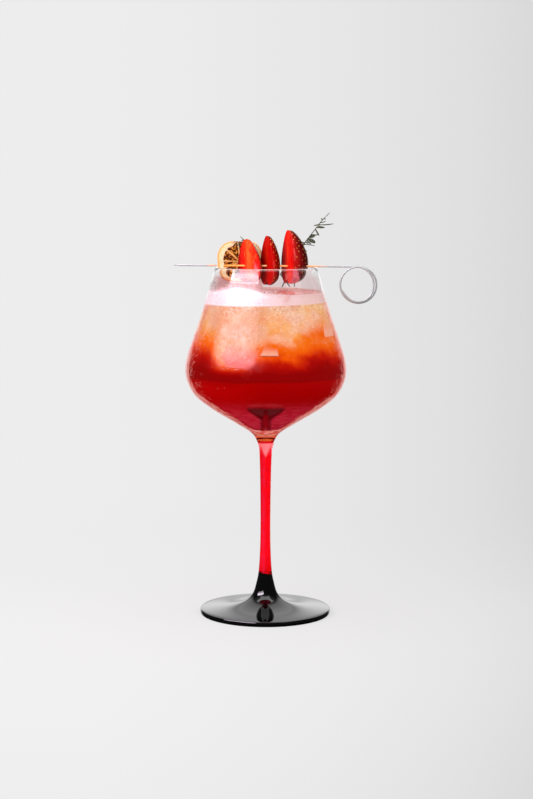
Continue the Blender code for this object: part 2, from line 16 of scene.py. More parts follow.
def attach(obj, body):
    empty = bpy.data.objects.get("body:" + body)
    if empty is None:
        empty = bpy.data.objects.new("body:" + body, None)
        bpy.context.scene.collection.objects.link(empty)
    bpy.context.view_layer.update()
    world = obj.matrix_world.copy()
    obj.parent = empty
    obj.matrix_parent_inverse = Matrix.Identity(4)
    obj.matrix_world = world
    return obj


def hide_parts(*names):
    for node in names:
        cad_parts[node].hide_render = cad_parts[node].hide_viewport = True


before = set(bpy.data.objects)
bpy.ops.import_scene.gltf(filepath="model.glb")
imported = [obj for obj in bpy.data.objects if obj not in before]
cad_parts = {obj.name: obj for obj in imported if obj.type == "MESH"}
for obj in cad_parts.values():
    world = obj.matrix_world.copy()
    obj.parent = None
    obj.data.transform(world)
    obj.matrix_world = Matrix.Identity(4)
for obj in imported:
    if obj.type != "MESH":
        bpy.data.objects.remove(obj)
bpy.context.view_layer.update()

# A millimetre in metres, metres within which points are merged, and steps around a turned piece
MM, SAME_PLACE, ROUND_STEPS = 0.001, 1e-6, 144

# Glass: radius and height in millimetres along the outside, from the rim down
BOWL_OUTLINE = ((33.7, 230.0), (40.2, 206.4), (46.9, 186.4), (51.6, 172.4), (53.1, 162.6), (51.6, 154.6),
                (46.6, 145.8), (36.2, 137.4), (22.6, 129.1), (12.4, 123.0), (8.0, 119.4), (5.9, 115.8))
STEM_OUTLINE = ((5.9, 115.8), (4.4, 110.6), (3.85, 100.0), (3.5, 84.0), (3.3, 60.0), (3.55, 43.0), (4.4, 28.4))
FOOT_OUTLINE = ((4.4, 28.4), (5.9, 20.4), (8.3, 13.0), (13.5, 8.2), (24.0, 5.2), (42.4, 3.3))
FOOT_RADIUS, FOOT_EDGE_HEIGHT = 43.3, 3.3
RIM_HEIGHT = 230.0
WALL_AT_RIM, WALL_AT_BASE = 1.3, 2.2
INSIDE_BOTTOM = 121.8
BOWL_JOINT_HEIGHT = 116.05
FOOT_JOINT_HEIGHT, FOOT_JOINT_SLANT = 26.95, math.radians(11.0)
INTO_WALL = 0.15

# Levels of the drink and the foam, how far a layer reaches past its level, how far the wall's own points keep from
# a level, the foam's radius, and how many bubbles cling to the wall and bits of fruit lie on the foam
RED_LEVEL, DRINK_LEVEL, FOAM_LEVEL = 179.0, 206.7, 214.2
LAYER_OVERLAP, WALL_POINTS_FROM = 0.05, 0.6
FOAM_RADIUS = 37.5
FROTH_COUNT, BITS_COUNT = 900, 90

# Condensation: numbers of drops, and larger ones on the stem by degrees from the front, height and size
DROPLET_COUNT, STEM_DROPLET_COUNT = 1500, 70
STEM_DROPS = (-8, 93.5, 0.4), (-12, 91, 0.34), (72, 113.5, 0.8), (76, 111.5, 0.65)

# Skewer and what is threaded on it
WIRE_RADIUS = 0.63
SKEWER_HEIGHT = 231.0
SKEWER = Matrix.Translation((0, 0, SKEWER_HEIGHT * MM)) @ Matrix.Rotation(math.radians(-9.0), 4, "Z")
SKEWER_TIP_X, TIP_TAPER = -62.0, 5.0
RING_CENTRE_X, RING_RADIUS, RING_SHRINK, RING_DROP, RING_TURNS = 60.7, 11.75, 1.7, 0.8, 1.64
RING_PITCH, TAIL_LENGTH, STEPS_IN_TURN = 1.7, 5.6, 72

# Camera
CAMERA_PLACE, CAMERA_LENS = (0.00046, -1.1598, 0.2745), 79.7
CAMERA_PITCH, CAMERA_TILT = math.radians(83.532), math.radians(0.19)

# Greys of the backdrop, by slope to the right of the line of sight, and the slopes that they span
BACKDROP_SHADES = ((-0.1, 237), (-0.04, 235), (0.035, 231), (0.08, 227), (0.116, 223), (0.155, 216))
BACKDROP_SPAN = -0.1, 0.2

# Soft panels: degrees to the right of the front and up, distance from the lit point, width, height, brightness,
# tint, and how far the panel is moved up and to the right in its own plane
LIT_POINT = Vector((0, 0, 0.19))
PINKISH, SLIDE = (1.0, 0.88, 1.0), -0.0575
LIGHTS = (("window panel", -47.5, 24.5, 0.9, 1.04, 0.205, 11.0, PINKISH, 0.0395, SLIDE),
          ("window head", -47.5, 24.5, 0.9, 1.04, 0.044, 3.7, PINKISH, 0.164, SLIDE),
          ("window foot", -47.5, 24.5, 0.9, 0.85, 0.137, 4.0, PINKISH, -0.131),
          ("ceiling panel", 0.0, 78.0, 1.1, 1.4, 1.2, 1.6))
FILL_LIGHT = "right fill", 62.0, 25.0, 1.0, 0.6, 0.6, 1.6

# Pink that the drink gives to the glass around it
JUICE_ON_GLASS = (1.0, 0.74, 0.72, 1.0)

# Top edge of the foam that clings to the front wall, as distance to the right of the middle and height
FOAM_CREST = ((-36, 214.3), (-26, 217.0), (-18.7, 218.4), (-11.6, 217.7), (-5.3, 216.2), (0, 213.6), (9, 212.4),
              (36, 212.0))

# Ice that touches the wall: degrees around from the front, lower and upper height, width and lean. Then how far all
# of it reaches into the wall and inwards from there
ICE = ((2.6, 175.6, 181.6, 12.0, -1.1), (64, 186.0, 199.0, 15.0, 1.2), (118, 181.0, 190.0, 17.0, -1.0),
       (176, 186.0, 200.0, 16.0, 0.8), (-136, 181.5, 193.0, 14.0, -1.4), (-84, 188.0, 201.0, 12.0, 0.9))
ICE_INTO_WALL, ICE_DEPTH = 0.07, 1.6

# Painted reflection: how much of the fruit's colour is painted on the wire, by millimetres along it
WARM_ON_WIRE = ((-40, 0), (-36, 0.55), (-33, 0.2), (-31, 0.9), (-28, 0.9), (-12, 0.9), (-8, 0.6), (9, 0.8),
                (13.5, 0.8), (25, 0.75), (33, 0.5), (41, 0))

# Citrus wheel: sizes, segments, how far it is turned about the glass's axis, and its relief. WHEEL_UNIT is its
# radius before it is shaped, and the pith starts at a share of the radius
WHEEL_HALF_WIDTH, WHEEL_HALF_HEIGHT, WHEEL_CORNERS, WHEEL_THICKNESS = 15.6, 13.5, 0.12, 1.9
WHEEL_SEGMENTS, POCKET_DEPTH, WHEEL_TURN = 9, 0.55, math.radians(31.0)
WHEEL_UNIT, MEAN_RADIUS, MEMBRANE_HALF, MEMBRANE_SLOPE, PITH_START = 10, 14.5, 0.28, 0.45, 0.785
WHEEL = SKEWER @ Matrix.Translation((-18.3 * MM, 9.3 * math.tan(WHEEL_TURN) * MM, 2.4 * MM)) @ Matrix.Rotation(
    WHEEL_TURN, 4, "Z")

# Strawberry halves: place on the skewer, half width, depth, height, turn in degrees and lean of the tip
STRAWBERRIES = {
    "strawberry_left": dict(x=-10.9, y=-2.2, bottom=218.9, width=9.0, depth=8.4, height=29.6, turn=27.0,
                            lean=-2.2, seed=3),
    "strawberry_middle": dict(x=0.0, y=0.0, bottom=217.5, width=9.3, depth=9.4, height=33.2, turn=54.0,
                              lean=0.9, seed=5),
    "strawberry_right": dict(x=13.8, y=0.0, bottom=218.7, width=11.3, depth=14.3, height=35.8, turn=61.0,
                             lean=1.4, seed=8),
}
# Shape of every half: share of its height with share of its width, the hull's scoop, and its seeds in their dents
BERRY_OUTLINE = ((0.0, 0.0), (0.03, 0.42), (0.11, 0.78), (0.23, 0.95), (0.36, 1.0), (0.52, 0.945), (0.68, 0.79),
                 (0.82, 0.60), (0.93, 0.385), (0.985, 0.20), (1.0, 0.0))
HULL_RADIUS, HULL_DEPTH = 3.4, 3.6
SEED_COUNT, SEED_FROM_CUT, SEED_SUNK, DENT_DEPTH, DENT_RADIUS = 190, 0.10, 0.26, 0.30, 0.75
# Places of the finishes on a half
SKIN, FLESH, SEED = 0, 1, 2

# How far the orange hangs into the red, in millimetres, by degrees around the bowl from its front
TEA_TONGUES = ((-180, 4), (-152, 10), (-124, 2), (-98, 8), (-72, 1), (-55, 0), (-47, 1.5), (-41, 8), (-34, 13),
               (-24, 13), (-15, 9), (-8, 4.5), (2, 3.5), (12, 4.5), (21, 5.5), (28, 4.5), (35, 1), (52, 0), (68, 3),
               (88, 8), (112, 1), (140, 9), (166, 3), (180, 4))


def tint(red, green, blue):
    """A colour given as 0 to 255 on the screen, as the linear values that sockets take."""
    parts = [c / 255 for c in (red, green, blue)]
    return (*[p / 12.92 if p <= 0.04045 else ((p + 0.055) / 1.055) ** 2.4 for p in parts], 1.0)


def grey(share):
    """A linear grey."""
    return share, share, share, 1.0


# Colours of the drink by height above the foot, which are read up to TEA_TOP
TEA_TOP = 0.208
TEA_COLOURS = ((0.120, tint(132, 2, 18)), (0.134, tint(176, 5, 34)), (0.146, tint(158, 2, 3)),
               (0.1588, tint(170, 1, 2)), (0.1598, tint(146, 1, 2)), (0.167, tint(148, 1, 2)),
               (0.172, tint(172, 6, 2)), (0.1755, tint(196, 24, 2)), (0.179, tint(228, 62, 3)),
               (0.182, tint(247, 98, 4)), (0.187, tint(252, 122, 8)), (0.1905, tint(253, 156, 62)),
               (0.194, tint(253, 178, 108)), (0.200, tint(253, 194, 142)), (0.2035, tint(252, 190, 146)),
               (0.2065, tint(243, 168, 130)))

# Colours of the stem by height above the foot
STEM_COLOURS = ((0.0270, tint(222, 2, 8)), (0.0360, tint(246, 6, 26)), (0.1035, tint(242, 5, 20)),
                (0.11448, tint(244, 10, 26)), (0.11556, tint(190, 20, 26)), (0.11664, tint(112, 4, 22)),
                (0.1170, tint(150, 20, 24)))


# Modelling helpers

def start_fresh():
    """Goes to object mode with nothing selected."""
    if bpy.context.mode != "OBJECT":
        bpy.ops.object.mode_set(mode="OBJECT")
    bpy.ops.object.select_all(action="DESELECT")


def choose(piece):
    """Makes a piece the only one selected, and the active one."""
    start_fresh()
    piece.select_set(True)
    bpy.context.view_layer.objects.active = piece


@contextmanager
def editing(piece):
    """Edit mode on a piece, with all of it selected."""
    choose(piece)
    bpy.ops.object.mode_set(mode="EDIT")
    bpy.ops.mesh.select_all(action="SELECT")
    yield
    bpy.ops.object.mode_set(mode="OBJECT")


def smoothed(piece, degrees):
    """Shades a piece smooth except at edges sharper than the angle."""
    choose(piece)
    bpy.ops.object.shade_smooth_by_angle(angle=math.radians(degrees))
    return piece


def smooth_line(points, per_span=8):
    """A Catmull-Rom curve through the points."""
    knots = [np.array(p, dtype=float) for p in points]
    knots = [2 * knots[0] - knots[1], *knots, 2 * knots[-1] - knots[-2]]
    line = []
    for a, b, c, d in zip(knots, knots[1:], knots[2:], knots[3:]):
        for t in np.arange(per_span) / per_span:
            line.append(0.5 * (2 * b + (c - a) * t + (2 * a - 5 * b + 4 * c - d) * t**2
                               + (3 * b - a - 3 * c + d) * t**3))
    line.append(knots[-2])
    return np.array(line)


def offset_inwards(line, distances):
    """The line moved to its right-hand side as it is followed."""
    along = np.gradient(line, axis=0)
    along /= np.linalg.norm(along, axis=1)[:, None]
    return line + np.stack([along[:, 1], -along[:, 0]], axis=1) * np.atleast_1d(distances)[:, None]


def spun(outline, steps=ROUND_STEPS):
    """A piece turned about the glass's axis from radius and height points, in millimetres."""
    start_fresh()
    bpy.ops.mesh.primitive_plane_add(size=MM)
    piece = bpy.context.object
    points = [Vector((r * MM, 0, z * MM)) for r, z in outline]
    with editing(piece):
        bpy.ops.mesh.merge(type="CENTER")
        bpy.ops.transform.translate(value=points[0])
        for here, there in zip(points, points[1:]):
            bpy.ops.mesh.extrude_vertices_move(TRANSFORM_OT_translate={"value": there - here})
        bpy.ops.mesh.select_all(action="SELECT")
        bpy.ops.mesh.spin(steps=steps, angle=2 * math.pi, center=(0, 0, 0), axis=(0, 0, 1))
        bpy.ops.mesh.select_all(action="SELECT")
        bpy.ops.mesh.remove_doubles(threshold=SAME_PLACE)
        bpy.ops.mesh.normals_make_consistent(inside=False)
    bpy.ops.object.shade_smooth()
    return piece


def sliced(piece, point, normal):
    """Cuts off what lies on the normal's side of a plane and closes the cut."""
    with editing(piece):
        bpy.ops.mesh.bisect(plane_co=point, plane_no=normal, use_fill=True, clear_outer=True)


def reshape(piece, rule):
    """Moves a piece's points by a rule on an array of places in millimetres."""
    mesh = piece.data
    places = np.empty(len(mesh.vertices) * 3)
    mesh.vertices.foreach_get("co", places)
    places = rule(places.reshape(-1, 3) / MM) * MM
    mesh.vertices.foreach_set("co", places.ravel())
    mesh.update()


def lumps(places, size, seed=0.0):
    """Smooth unevenness between -1 and 1 at each place, with bumps about size across."""
    return np.array([noise_field.noise(Vector(p) / size + Vector((seed, seed, seed))) for p in places]) * 1.6


def placed(piece, matrix):
    """Puts a piece in place with its place in its mesh."""
    choose(piece)
    piece.matrix_world = matrix
    bpy.ops.object.transform_apply(location=True, rotation=True, scale=True)


def joined(pieces):
    """The pieces as one, with the first one's faces first."""
    start_fresh()
    for piece in pieces:
        piece.select_set(True)
    bpy.context.view_layer.objects.active = pieces[0]
    bpy.ops.object.join()
    return bpy.context.object


def copies(model, matrices):
    """A copy of a piece at each place. The piece itself goes."""
    pieces = []
    for matrix in matrices:
        piece = bpy.data.objects.new(model.name, model.data.copy())
        bpy.context.collection.objects.link(piece)
        piece.data.transform(matrix)
        pieces.append(piece)
    bpy.data.objects.remove(model)
    return pieces


def dress(piece, name, finishes, nodes=()):
    """Names a finished piece, gives it its materials and sets it on the body."""
    piece.name = name
    piece.data.name = name
    piece.data.materials.clear()
    for finish in finishes:
        piece.data.materials.append(finish)
    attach(piece, "root")
    if nodes:
        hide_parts(*nodes)
    return piece


# Material helpers

class Signal:
    """A node's output. Sums with it add Math nodes to its own tree."""

    def __init__(self, socket):
        self.socket = socket

    def __add__(self, other):
        return maths("ADD", self, other)

    def __sub__(self, other):
        return maths("SUBTRACT", self, other)

    def __rsub__(self, other):
        return maths("SUBTRACT", other, self)

    def __mul__(self, other):
        return maths("MULTIPLY", self, other)

    def __rtruediv__(self, other):
        return maths("DIVIDE", other, self)

    def __abs__(self):
        return maths("ABSOLUTE", self)

    __radd__, __rmul__ = __add__, __mul__


def node(kind, inputs=(), output=0, tree=None, **settings):
    """Adds a node to the tree of its inputs, or to the one given, and returns one of its outputs."""
    inputs = dict(inputs)
    if tree is None:
        tree = next(v for v in inputs.values() if isinstance(v, Signal)).socket.id_data
    made = tree.nodes.new("ShaderNode" + kind)
    for setting, value in settings.items():
        setattr(made, setting, value)
    for key, value in inputs.items():
        if isinstance(value, Signal):
            tree.links.new(value.socket, made.inputs[key])
        else:
            made.inputs[key].default_value = value
    return Signal(made.outputs[output])


def maths(operation, *values, clamp=False):
    return node("Math", enumerate(values), operation=operation, use_clamp=clamp)


def largest(first, second):
    return maths("MAXIMUM", first, second)


def least(first, second):
    return maths("MINIMUM", first, second)


def split(vector):
    """The three parts of a vector."""
    return [Signal(part) for part in node("SeparateXYZ", {0: vector}).socket.node.outputs]


def length(vector):
    return node("VectorMath", {0: vector}, "Value", operation="LENGTH")


def blend(share, first, second, how="MIX"):
    return node("Mix", {0: share, 6: first, 7: second}, 2, data_type="RGBA", blend_type=how)


def darkened(colour, share):
    return blend(1.0, colour, grey(share), "MULTIPLY")


def graded(value, low, high, to_low=0.0, to_high=1.0):
    """A soft step from one result to another between two values."""
    return node("MapRange", {0: value, 1: low, 2: high, 3: to_low, 4: to_high}, interpolation_type="SMOOTHSTEP")


def below(value, low, high):
    """A mask that fades out between two values."""
    return graded(value, low, high, 1.0, 0.0)


def within(value, low, full, still, high):
    """A mask that comes in between the first two values and goes out between the last two."""
    return graded(value, low, full) * below(value, still, high)


def ramp(value, stops, low=0.0, high=1.0):
    """Colours at their places along a value that runs from low to high."""
    share = node("MapRange", {0: value, 1: low, 2: high}) if (low, high) != (0.0, 1.0) else value
    made = node("ValToRGB", {0: share})
    points = made.socket.node.color_ramp.elements
    while len(points) < len(stops):
        points.new(0.5)
    for point, (place, colour) in zip(points, stops):
        point.position = (place - low) / (high - low)
        point.color = colour
    return made


def cloudy(vector, scale, detail=3.0, roughness=0.5, distortion=0.0):
    return node("TexNoise", {"Vector": vector, "Scale": scale, "Detail": detail, "Roughness": roughness,
                             "Distortion": distortion})


def cells(vector, scale, feature="F1"):
    return node("TexVoronoi", {"Vector": vector, "Scale": scale}, "Distance", feature=feature)


def stretched(vector, scale, location=(0, 0, 0)):
    return node("Mapping", {"Vector": vector, "Location": location, "Scale": scale})


def bumped(height, strength, distance):
    return node("Bump", {"Height": height, "Strength": strength, "Distance": distance})


def facing_away(place):
    """How far a surface turns away from the eye."""
    return node("LayerWeight", {"Blend": 0.5}, "Facing", place.socket.id_data)


def mirrored_beyond(place, distance):
    """Where the piece is seen in a mirror image from further off than a distance."""
    tree = place.socket.id_data
    return node("LightPath", (), "Is Glossy Ray", tree) * maths(
        "GREATER_THAN", node("LightPath", (), "Ray Length", tree), distance)


def mapped(place, name):
    """The place on one of the piece's own maps."""
    return node("UVMap", (), 0, place.socket.id_data, uv_map=name)


def as_grey(value):
    return node("CombineColor", {0: value, 1: value, 2: value})


def start_finish(name, **settings):
    """A new material. Returns it, its shader and the place on the object."""
    material = bpy.data.materials.new(name)
    material.use_nodes = True
    shader = material.node_tree.nodes["Principled BSDF"]
    for socket, value in settings.items():
        shader.inputs[socket.replace("_", " ")].default_value = value
    return material, shader, node("TexCoord", (), "Object", material.node_tree)


def feed(shader, **signals):
    for name, signal in signals.items():
        shader.id_data.links.new(signal.socket, shader.inputs[name.replace("_", " ")])


def start_group(name, **inputs):
    """A new node group. An input given as None is a vector, and any other is a number with that default."""
    group = bpy.data.node_groups.new(name, "ShaderNodeTree")
    for socket, value in inputs.items():
        kind = "NodeSocketVector" if value is None else "NodeSocketFloat"
        made = group.interface.new_socket(socket, in_out="INPUT", socket_type=kind)
        if value is not None:
            made.default_value = value
    given = group.nodes.new("NodeGroupInput").outputs
    return group, [Signal(given[socket]) for socket in inputs]


def end_group(group, name, kind, signal):
    group.interface.new_socket(name, in_out="OUTPUT", socket_type=kind)
    group.links.new(signal.socket, group.nodes.new("NodeGroupOutput").inputs[name])
    return group


def from_group(group, **inputs):
    return node("Group", inputs, node_tree=group)


# Shared effects

def make_uneven_group():
    """Uneven pigment: soft patches with finer grain on them, as a factor around 1."""
    group, (place, size, amount) = start_group("uneven pigment", Vector=None, Size=0.004, Amount=0.2)
    scale = 1.0 / size
    both = cloudy(place, scale, 2.0) * 0.65 + cloudy(place, scale * 4.7) * 0.35
    return end_group(group, "Factor", "NodeSocketFloat", 1.0 + (both - 0.5) * (amount * 3.0))


def make_tea_group():
    """Colour of the drink: by height, with orange tongues in the red, pale ice, painted light and shade, and a dark
    funnel of painted shade at its foot.
    """
    group, (place,) = start_group("tea", Vector=None)
    x, y, z = split(place)
    front = below(y, -0.006, 0.006)

    # The height at which the colour is read, shifted by tongues and swirls near the join of the two drinks
    tongue = ramp(maths("ARCTAN2", x, y * -1.0), [(math.radians(turn), grey(dip / 14)) for turn, dip in TEA_TONGUES],
                  -math.pi, math.pi)
    broad = cloudy(stretched(place, (1, 1, 1.6)), 55.0, 2.0, 0.5, 0.6)
    fine = cloudy(stretched(place, (1, 1, 0.8)), 190.0, 4.0, 0.6, 0.8)
    shift = (broad - 0.5) * 0.009 + (fine - 0.5) * 0.007 + tongue * 0.014
    near_join = graded(z, 0.182, 0.196, 1.0, 0.15) * graded(z, 0.160, 0.168, 0.05, 1.0)
    height = z + shift * near_join - graded(x, 0.016, 0.030) * front * 0.0055 * graded(z, 0.182, 0.189)
    colour = ramp(height, TEA_COLOURS, TEA_COLOURS[0][0], TEA_TOP)

    # Pale and warm clouds, ice and fine wet lines in the orange, and painted shade over its front left
    orange = graded(height, 0.183, 0.192)
    swirl = node("VectorMath", {0: node("TexNoise", {"Vector": place, "Scale": 45.0}, "Color"), 3: 0.008},
                 operation="SCALE")
    warped = node("VectorMath", {0: place, 1: swirl}, operation="ADD")
    warm = cloudy(stretched(place, (1, 1, 1.8), (0.03, 0.01, 0.02)), 70.0, 3.0, 0.6, 0.4)
    ice = cloudy(stretched(warped, (1, 1, 1.3)), 62.0, 1.0)
    edges = cells(warped, 52.0, "DISTANCE_TO_EDGE")
    wavy = cloudy(stretched(place, (1, 1, 1.4)), 620.0, 3.0, 0.6, 0.7)
    lines = below(abs(wavy - 0.5), 0.004, 0.028) * graded(cloudy(place, 75.0, 2.0), 0.40, 0.56)
    under_foam = graded(z, 0.1995, 0.2055) * graded(cloudy(place, 110.0, 2.0), 0.42, 0.58)
    # Painted shade: a duller orange over the front left
    left = within(x, -0.040, -0.030, -0.006, 0.006) * graded(y, -0.012, -0.004, 0.55, 0.0)
    colour = blend(orange * graded(warm, 0.50, 0.66, 0.0, 0.5), colour, tint(248, 144, 84))
    colour = blend(orange * graded(ice, 0.44, 0.66, 0.0, 0.75), colour, tint(253, 204, 178))
    colour = blend(orange * graded(edges, 0.01, 0.07, 0.2, 0.0), colour, tint(243, 146, 92))
    colour = blend(under_foam * graded(cloudy(place, 1500.0, 2.0), 0.56, 0.64, 0.0, 0.8), colour, tint(206, 104, 84))
    colour = blend(orange * lines * graded(z, 0.188, 0.2035, 0.30, 0.75), colour, tint(212, 104, 70))
    colour = blend(orange * graded(wavy, 0.54, 0.66, 0.0, 0.5), colour, tint(254, 222, 200))
    colour = blend(orange * left, colour, tint(226, 134, 84))

    # Streaks low in the red, the coral patch at the front left, painted light that brightens the red towards the left,
    # and painted shade as the dark funnel over the stem
    streaks = cloudy(stretched(place, (0.6, 0.6, 2.2)), 300.0, 3.0, 0.6)
    colour = blend(below(z, 0.134, 0.149) * graded(streaks, 0.35, 0.65, 0.2, 0.62), colour, tint(212, 56, 76))
    coral = length(stretched(place, (1.0, 0.0, 1.35), (0.0165, 0.0, -0.2366))) + (fine - 0.5) * 0.008
    colour = blend(graded(coral, 0.0085, 0.0125, 0.85, 0.0) * below(y, -0.02, -0.01), colour,
                   blend(graded(z, 0.171, 0.183), tint(240, 84, 76), tint(250, 150, 118)))
    # Painted light: the low red is brighter towards the left, where the light falls
    colour = blend(graded(x * -1.0, -0.005, 0.036, 0.0, 0.30) * below(height, 0.155, 0.1585), colour, tint(214, 3, 8))
    # Painted shade: a dark funnel over the stem, where the stem and foot keep light from the drink
    funnel = graded(z, 0.1325, 0.1425) * 0.0088 + 0.0014
    dark = below(abs(x), funnel, funnel + 0.0034) * graded(z + fine * 0.002, 0.1425, 0.1455, 0.9, 0.0)
    return end_group(group, "Color", "NodeSocketColor", blend(dark, colour, tint(80, 2, 4)))


# Camera, room and lights

def set_camera():
    start_fresh()
    bpy.ops.object.camera_add(location=CAMERA_PLACE)
    camera = bpy.context.object
    camera.name = "camera"
    camera.rotation_euler = (Matrix.Rotation(CAMERA_PITCH, 4, "X") @ Matrix.Rotation(CAMERA_TILT, 4, "Z")).to_euler()
    camera.data.sensor_fit = "VERTICAL"
    camera.data.sensor_height = 36.0
    camera.data.lens = CAMERA_LENS
    camera.data.clip_start = 0.01
    bpy.context.scene.camera = camera
    bpy.context.scene.view_settings.view_transform = "Standard"


def backdrop_shade(across, ahead):
    """Pale grey that darkens a little towards the right of the glass."""
    side = maths("DIVIDE", across, largest(abs(ahead), 0.2))
    return ramp(side, [(at, tint(shade, shade, shade)) for at, shade in BACKDROP_SHADES], *BACKDROP_SPAN)


def set_world():
    """A pale room behind the glass, and a dim one in front of it as its surfaces mirror it."""
    world = bpy.data.worlds.new("pale room")
    bpy.context.scene.world = world
    world.use_nodes = True
    tree = world.node_tree
    output = next(n for n in tree.nodes if n.type == "BACKGROUND")
    across, ahead, up = split(node("TexCoord", (), "Generated", tree))
    behind = graded(ahead, 0.82, 0.95, 0.04, 1.9) * graded(up, 0.08, 0.20, 0.5, 1.0) * graded(up, 0.22, 0.40, 1.0, 0.5)
    behind = largest(behind, graded(ahead, 0.76, 0.95, 0.04, 0.4)) * graded(up, -0.75, -0.1, 0.02, 1.0)
    high = graded(ahead, 0.25, 0.6) * graded(up, 0.24, 0.46) * below(abs(across), 0.5, 0.85)
    room = largest(behind, largest(graded(up, 0.55, 1.0, 0.0, 0.35), high))
    mirrored = maths("GREATER_THAN", node("LightPath", (), "Glossy Depth", tree), 0.5)
    colour = blend(mirrored, backdrop_shade(across, ahead), as_grey(room))
    feed(output, Color=blend(node("LightPath", (), "Is Diffuse Ray", tree), colour, grey(0.55)))


def set_floor():
    start_fresh()
    bpy.ops.mesh.primitive_circle_add(vertices=96, radius=14.0, fill_type="TRIFAN", location=(0, 0, -0.0001))
    floor = bpy.context.object
    floor.name = "floor"
    material, shader, place = start_finish("pale floor", Roughness=1.0, Specular_IOR_Level=0.0, Emission_Strength=1.0)
    x, y, _ = split(place)
    far = graded(length(place), 0.05, 0.5)
    glow = backdrop_shade(x, y - CAMERA_PLACE[1])
    feed(shader, Base_Color=blend(far, grey(0.16), grey(0.0)),
         Emission_Color=blend((1.0 - far) * 0.5, glow, grey(0.42)))
    floor.data.materials.append(material)
    floor.visible_glossy = False


def set_light(name, azimuth, elevation, distance, width, height, radiance, tone=(1, 1, 1), rise=0.0, slide=0.0):
    """A soft panel that faces the glass, from an azimuth to the right of the front."""
    start_fresh()
    turn, lift = math.radians(azimuth), math.radians(elevation)
    away = distance * Vector((math.sin(turn) * math.cos(lift), -math.cos(turn) * math.cos(lift), math.sin(lift)))
    facing = (-away).to_track_quat("-Z", "Y")
    bpy.ops.object.light_add(type="AREA", location=LIT_POINT + away + facing @ Vector((slide, rise, 0)))
    light = bpy.context.object
    light.name = name
    light.rotation_euler = facing.to_euler()
    light.data.shape = "RECTANGLE"
    light.data.size, light.data.size_y = width, height
    light.data.energy = radiance * math.pi * width * height
    light.data.color = tone
    return light


# Glass

def inside_of_bowl():
    """Radius and height along the bowl's inner wall, from the rim to the middle of its bottom."""
    outer = smooth_line(BOWL_OUTLINE[:10])
    share = (RIM_HEIGHT - outer[:, 1]) / (RIM_HEIGHT - INSIDE_BOTTOM)
    inner = offset_inwards(outer, WALL_AT_RIM + (WALL_AT_BASE - WALL_AT_RIM) * share)
    inner = inner[inner[:, 0] > 9.0]
    bottom = [(7.2, INSIDE_BOTTOM + 1.25), (5.0, INSIDE_BOTTOM + 0.6), (2.5, INSIDE_BOTTOM + 0.15),
              (0.0, INSIDE_BOTTOM)]
    return np.vstack([inner, bottom])


INSIDE = inside_of_bowl()


def make_glass_bowl(finish):
    outer = smooth_line(BOWL_OUTLINE)
    outer, inner = outer[1:], INSIDE[1:]
    lip_radius = (BOWL_OUTLINE[0][0] - INSIDE[0][0]) / 2
    middle = INSIDE[0][0] + lip_radius
    lip = [(middle - lip_radius * math.cos(a), RIM_HEIGHT - lip_radius + lip_radius * math.sin(a))
           for a in np.linspace(0, math.pi, 9)]
    outer = outer[outer[:, 1] < RIM_HEIGHT - lip_radius]
    inner = inner[inner[:, 1] < RIM_HEIGHT - lip_radius]
    bowl = spun([*inner[::-1], *lip, *outer, (0.0, outer[-1][1])])
    sliced(bowl, (0, 0, BOWL_JOINT_HEIGHT * MM), (0, 0, -1))
    return dress(smoothed(bowl, 50), "glass_bowl", [finish], ["bowl"])


def foot_joint(lift):
    normal = Vector((math.sin(FOOT_JOINT_SLANT), 0, math.cos(FOOT_JOINT_SLANT)))
    return Vector((0, 0, FOOT_JOINT_HEIGHT * MM)) + normal * lift * MM, normal


def make_glass_stem(finish):
    outline = smooth_line((*BOWL_OUTLINE[-2:], *STEM_OUTLINE[1:], *FOOT_OUTLINE[1:2]))
    stem = spun([(0.0, outline[0][1]), *outline, (0.0, outline[-1][1])], 64)
    sliced(stem, (0, 0, (BOWL_JOINT_HEIGHT - 0.02) * MM), (0, 0, 1))
    point, normal = foot_joint(-0.05)
    sliced(stem, point, -normal)
    return dress(smoothed(stem, 50), "glass_stem", [finish], ["stem"])


def make_glass_foot(finish):
    outline = smooth_line((STEM_OUTLINE[-2], *FOOT_OUTLINE))
    half = FOOT_EDGE_HEIGHT / 2
    edge = [(FOOT_RADIUS - half + 0.9 + (half - 0.9) * math.cos(a), half + half * math.sin(a))
            for a in np.linspace(math.radians(70), math.radians(-84), 10)]
    foot = spun([(0.0, outline[0][1]), *outline, *edge, (FOOT_RADIUS - 2.2, 0.0), (0.0, 0.0)])
    point, normal = foot_joint(0.05)
    sliced(foot, point, normal)
    return dress(smoothed(foot, 40), "glass_foot", [finish], ["foot"])


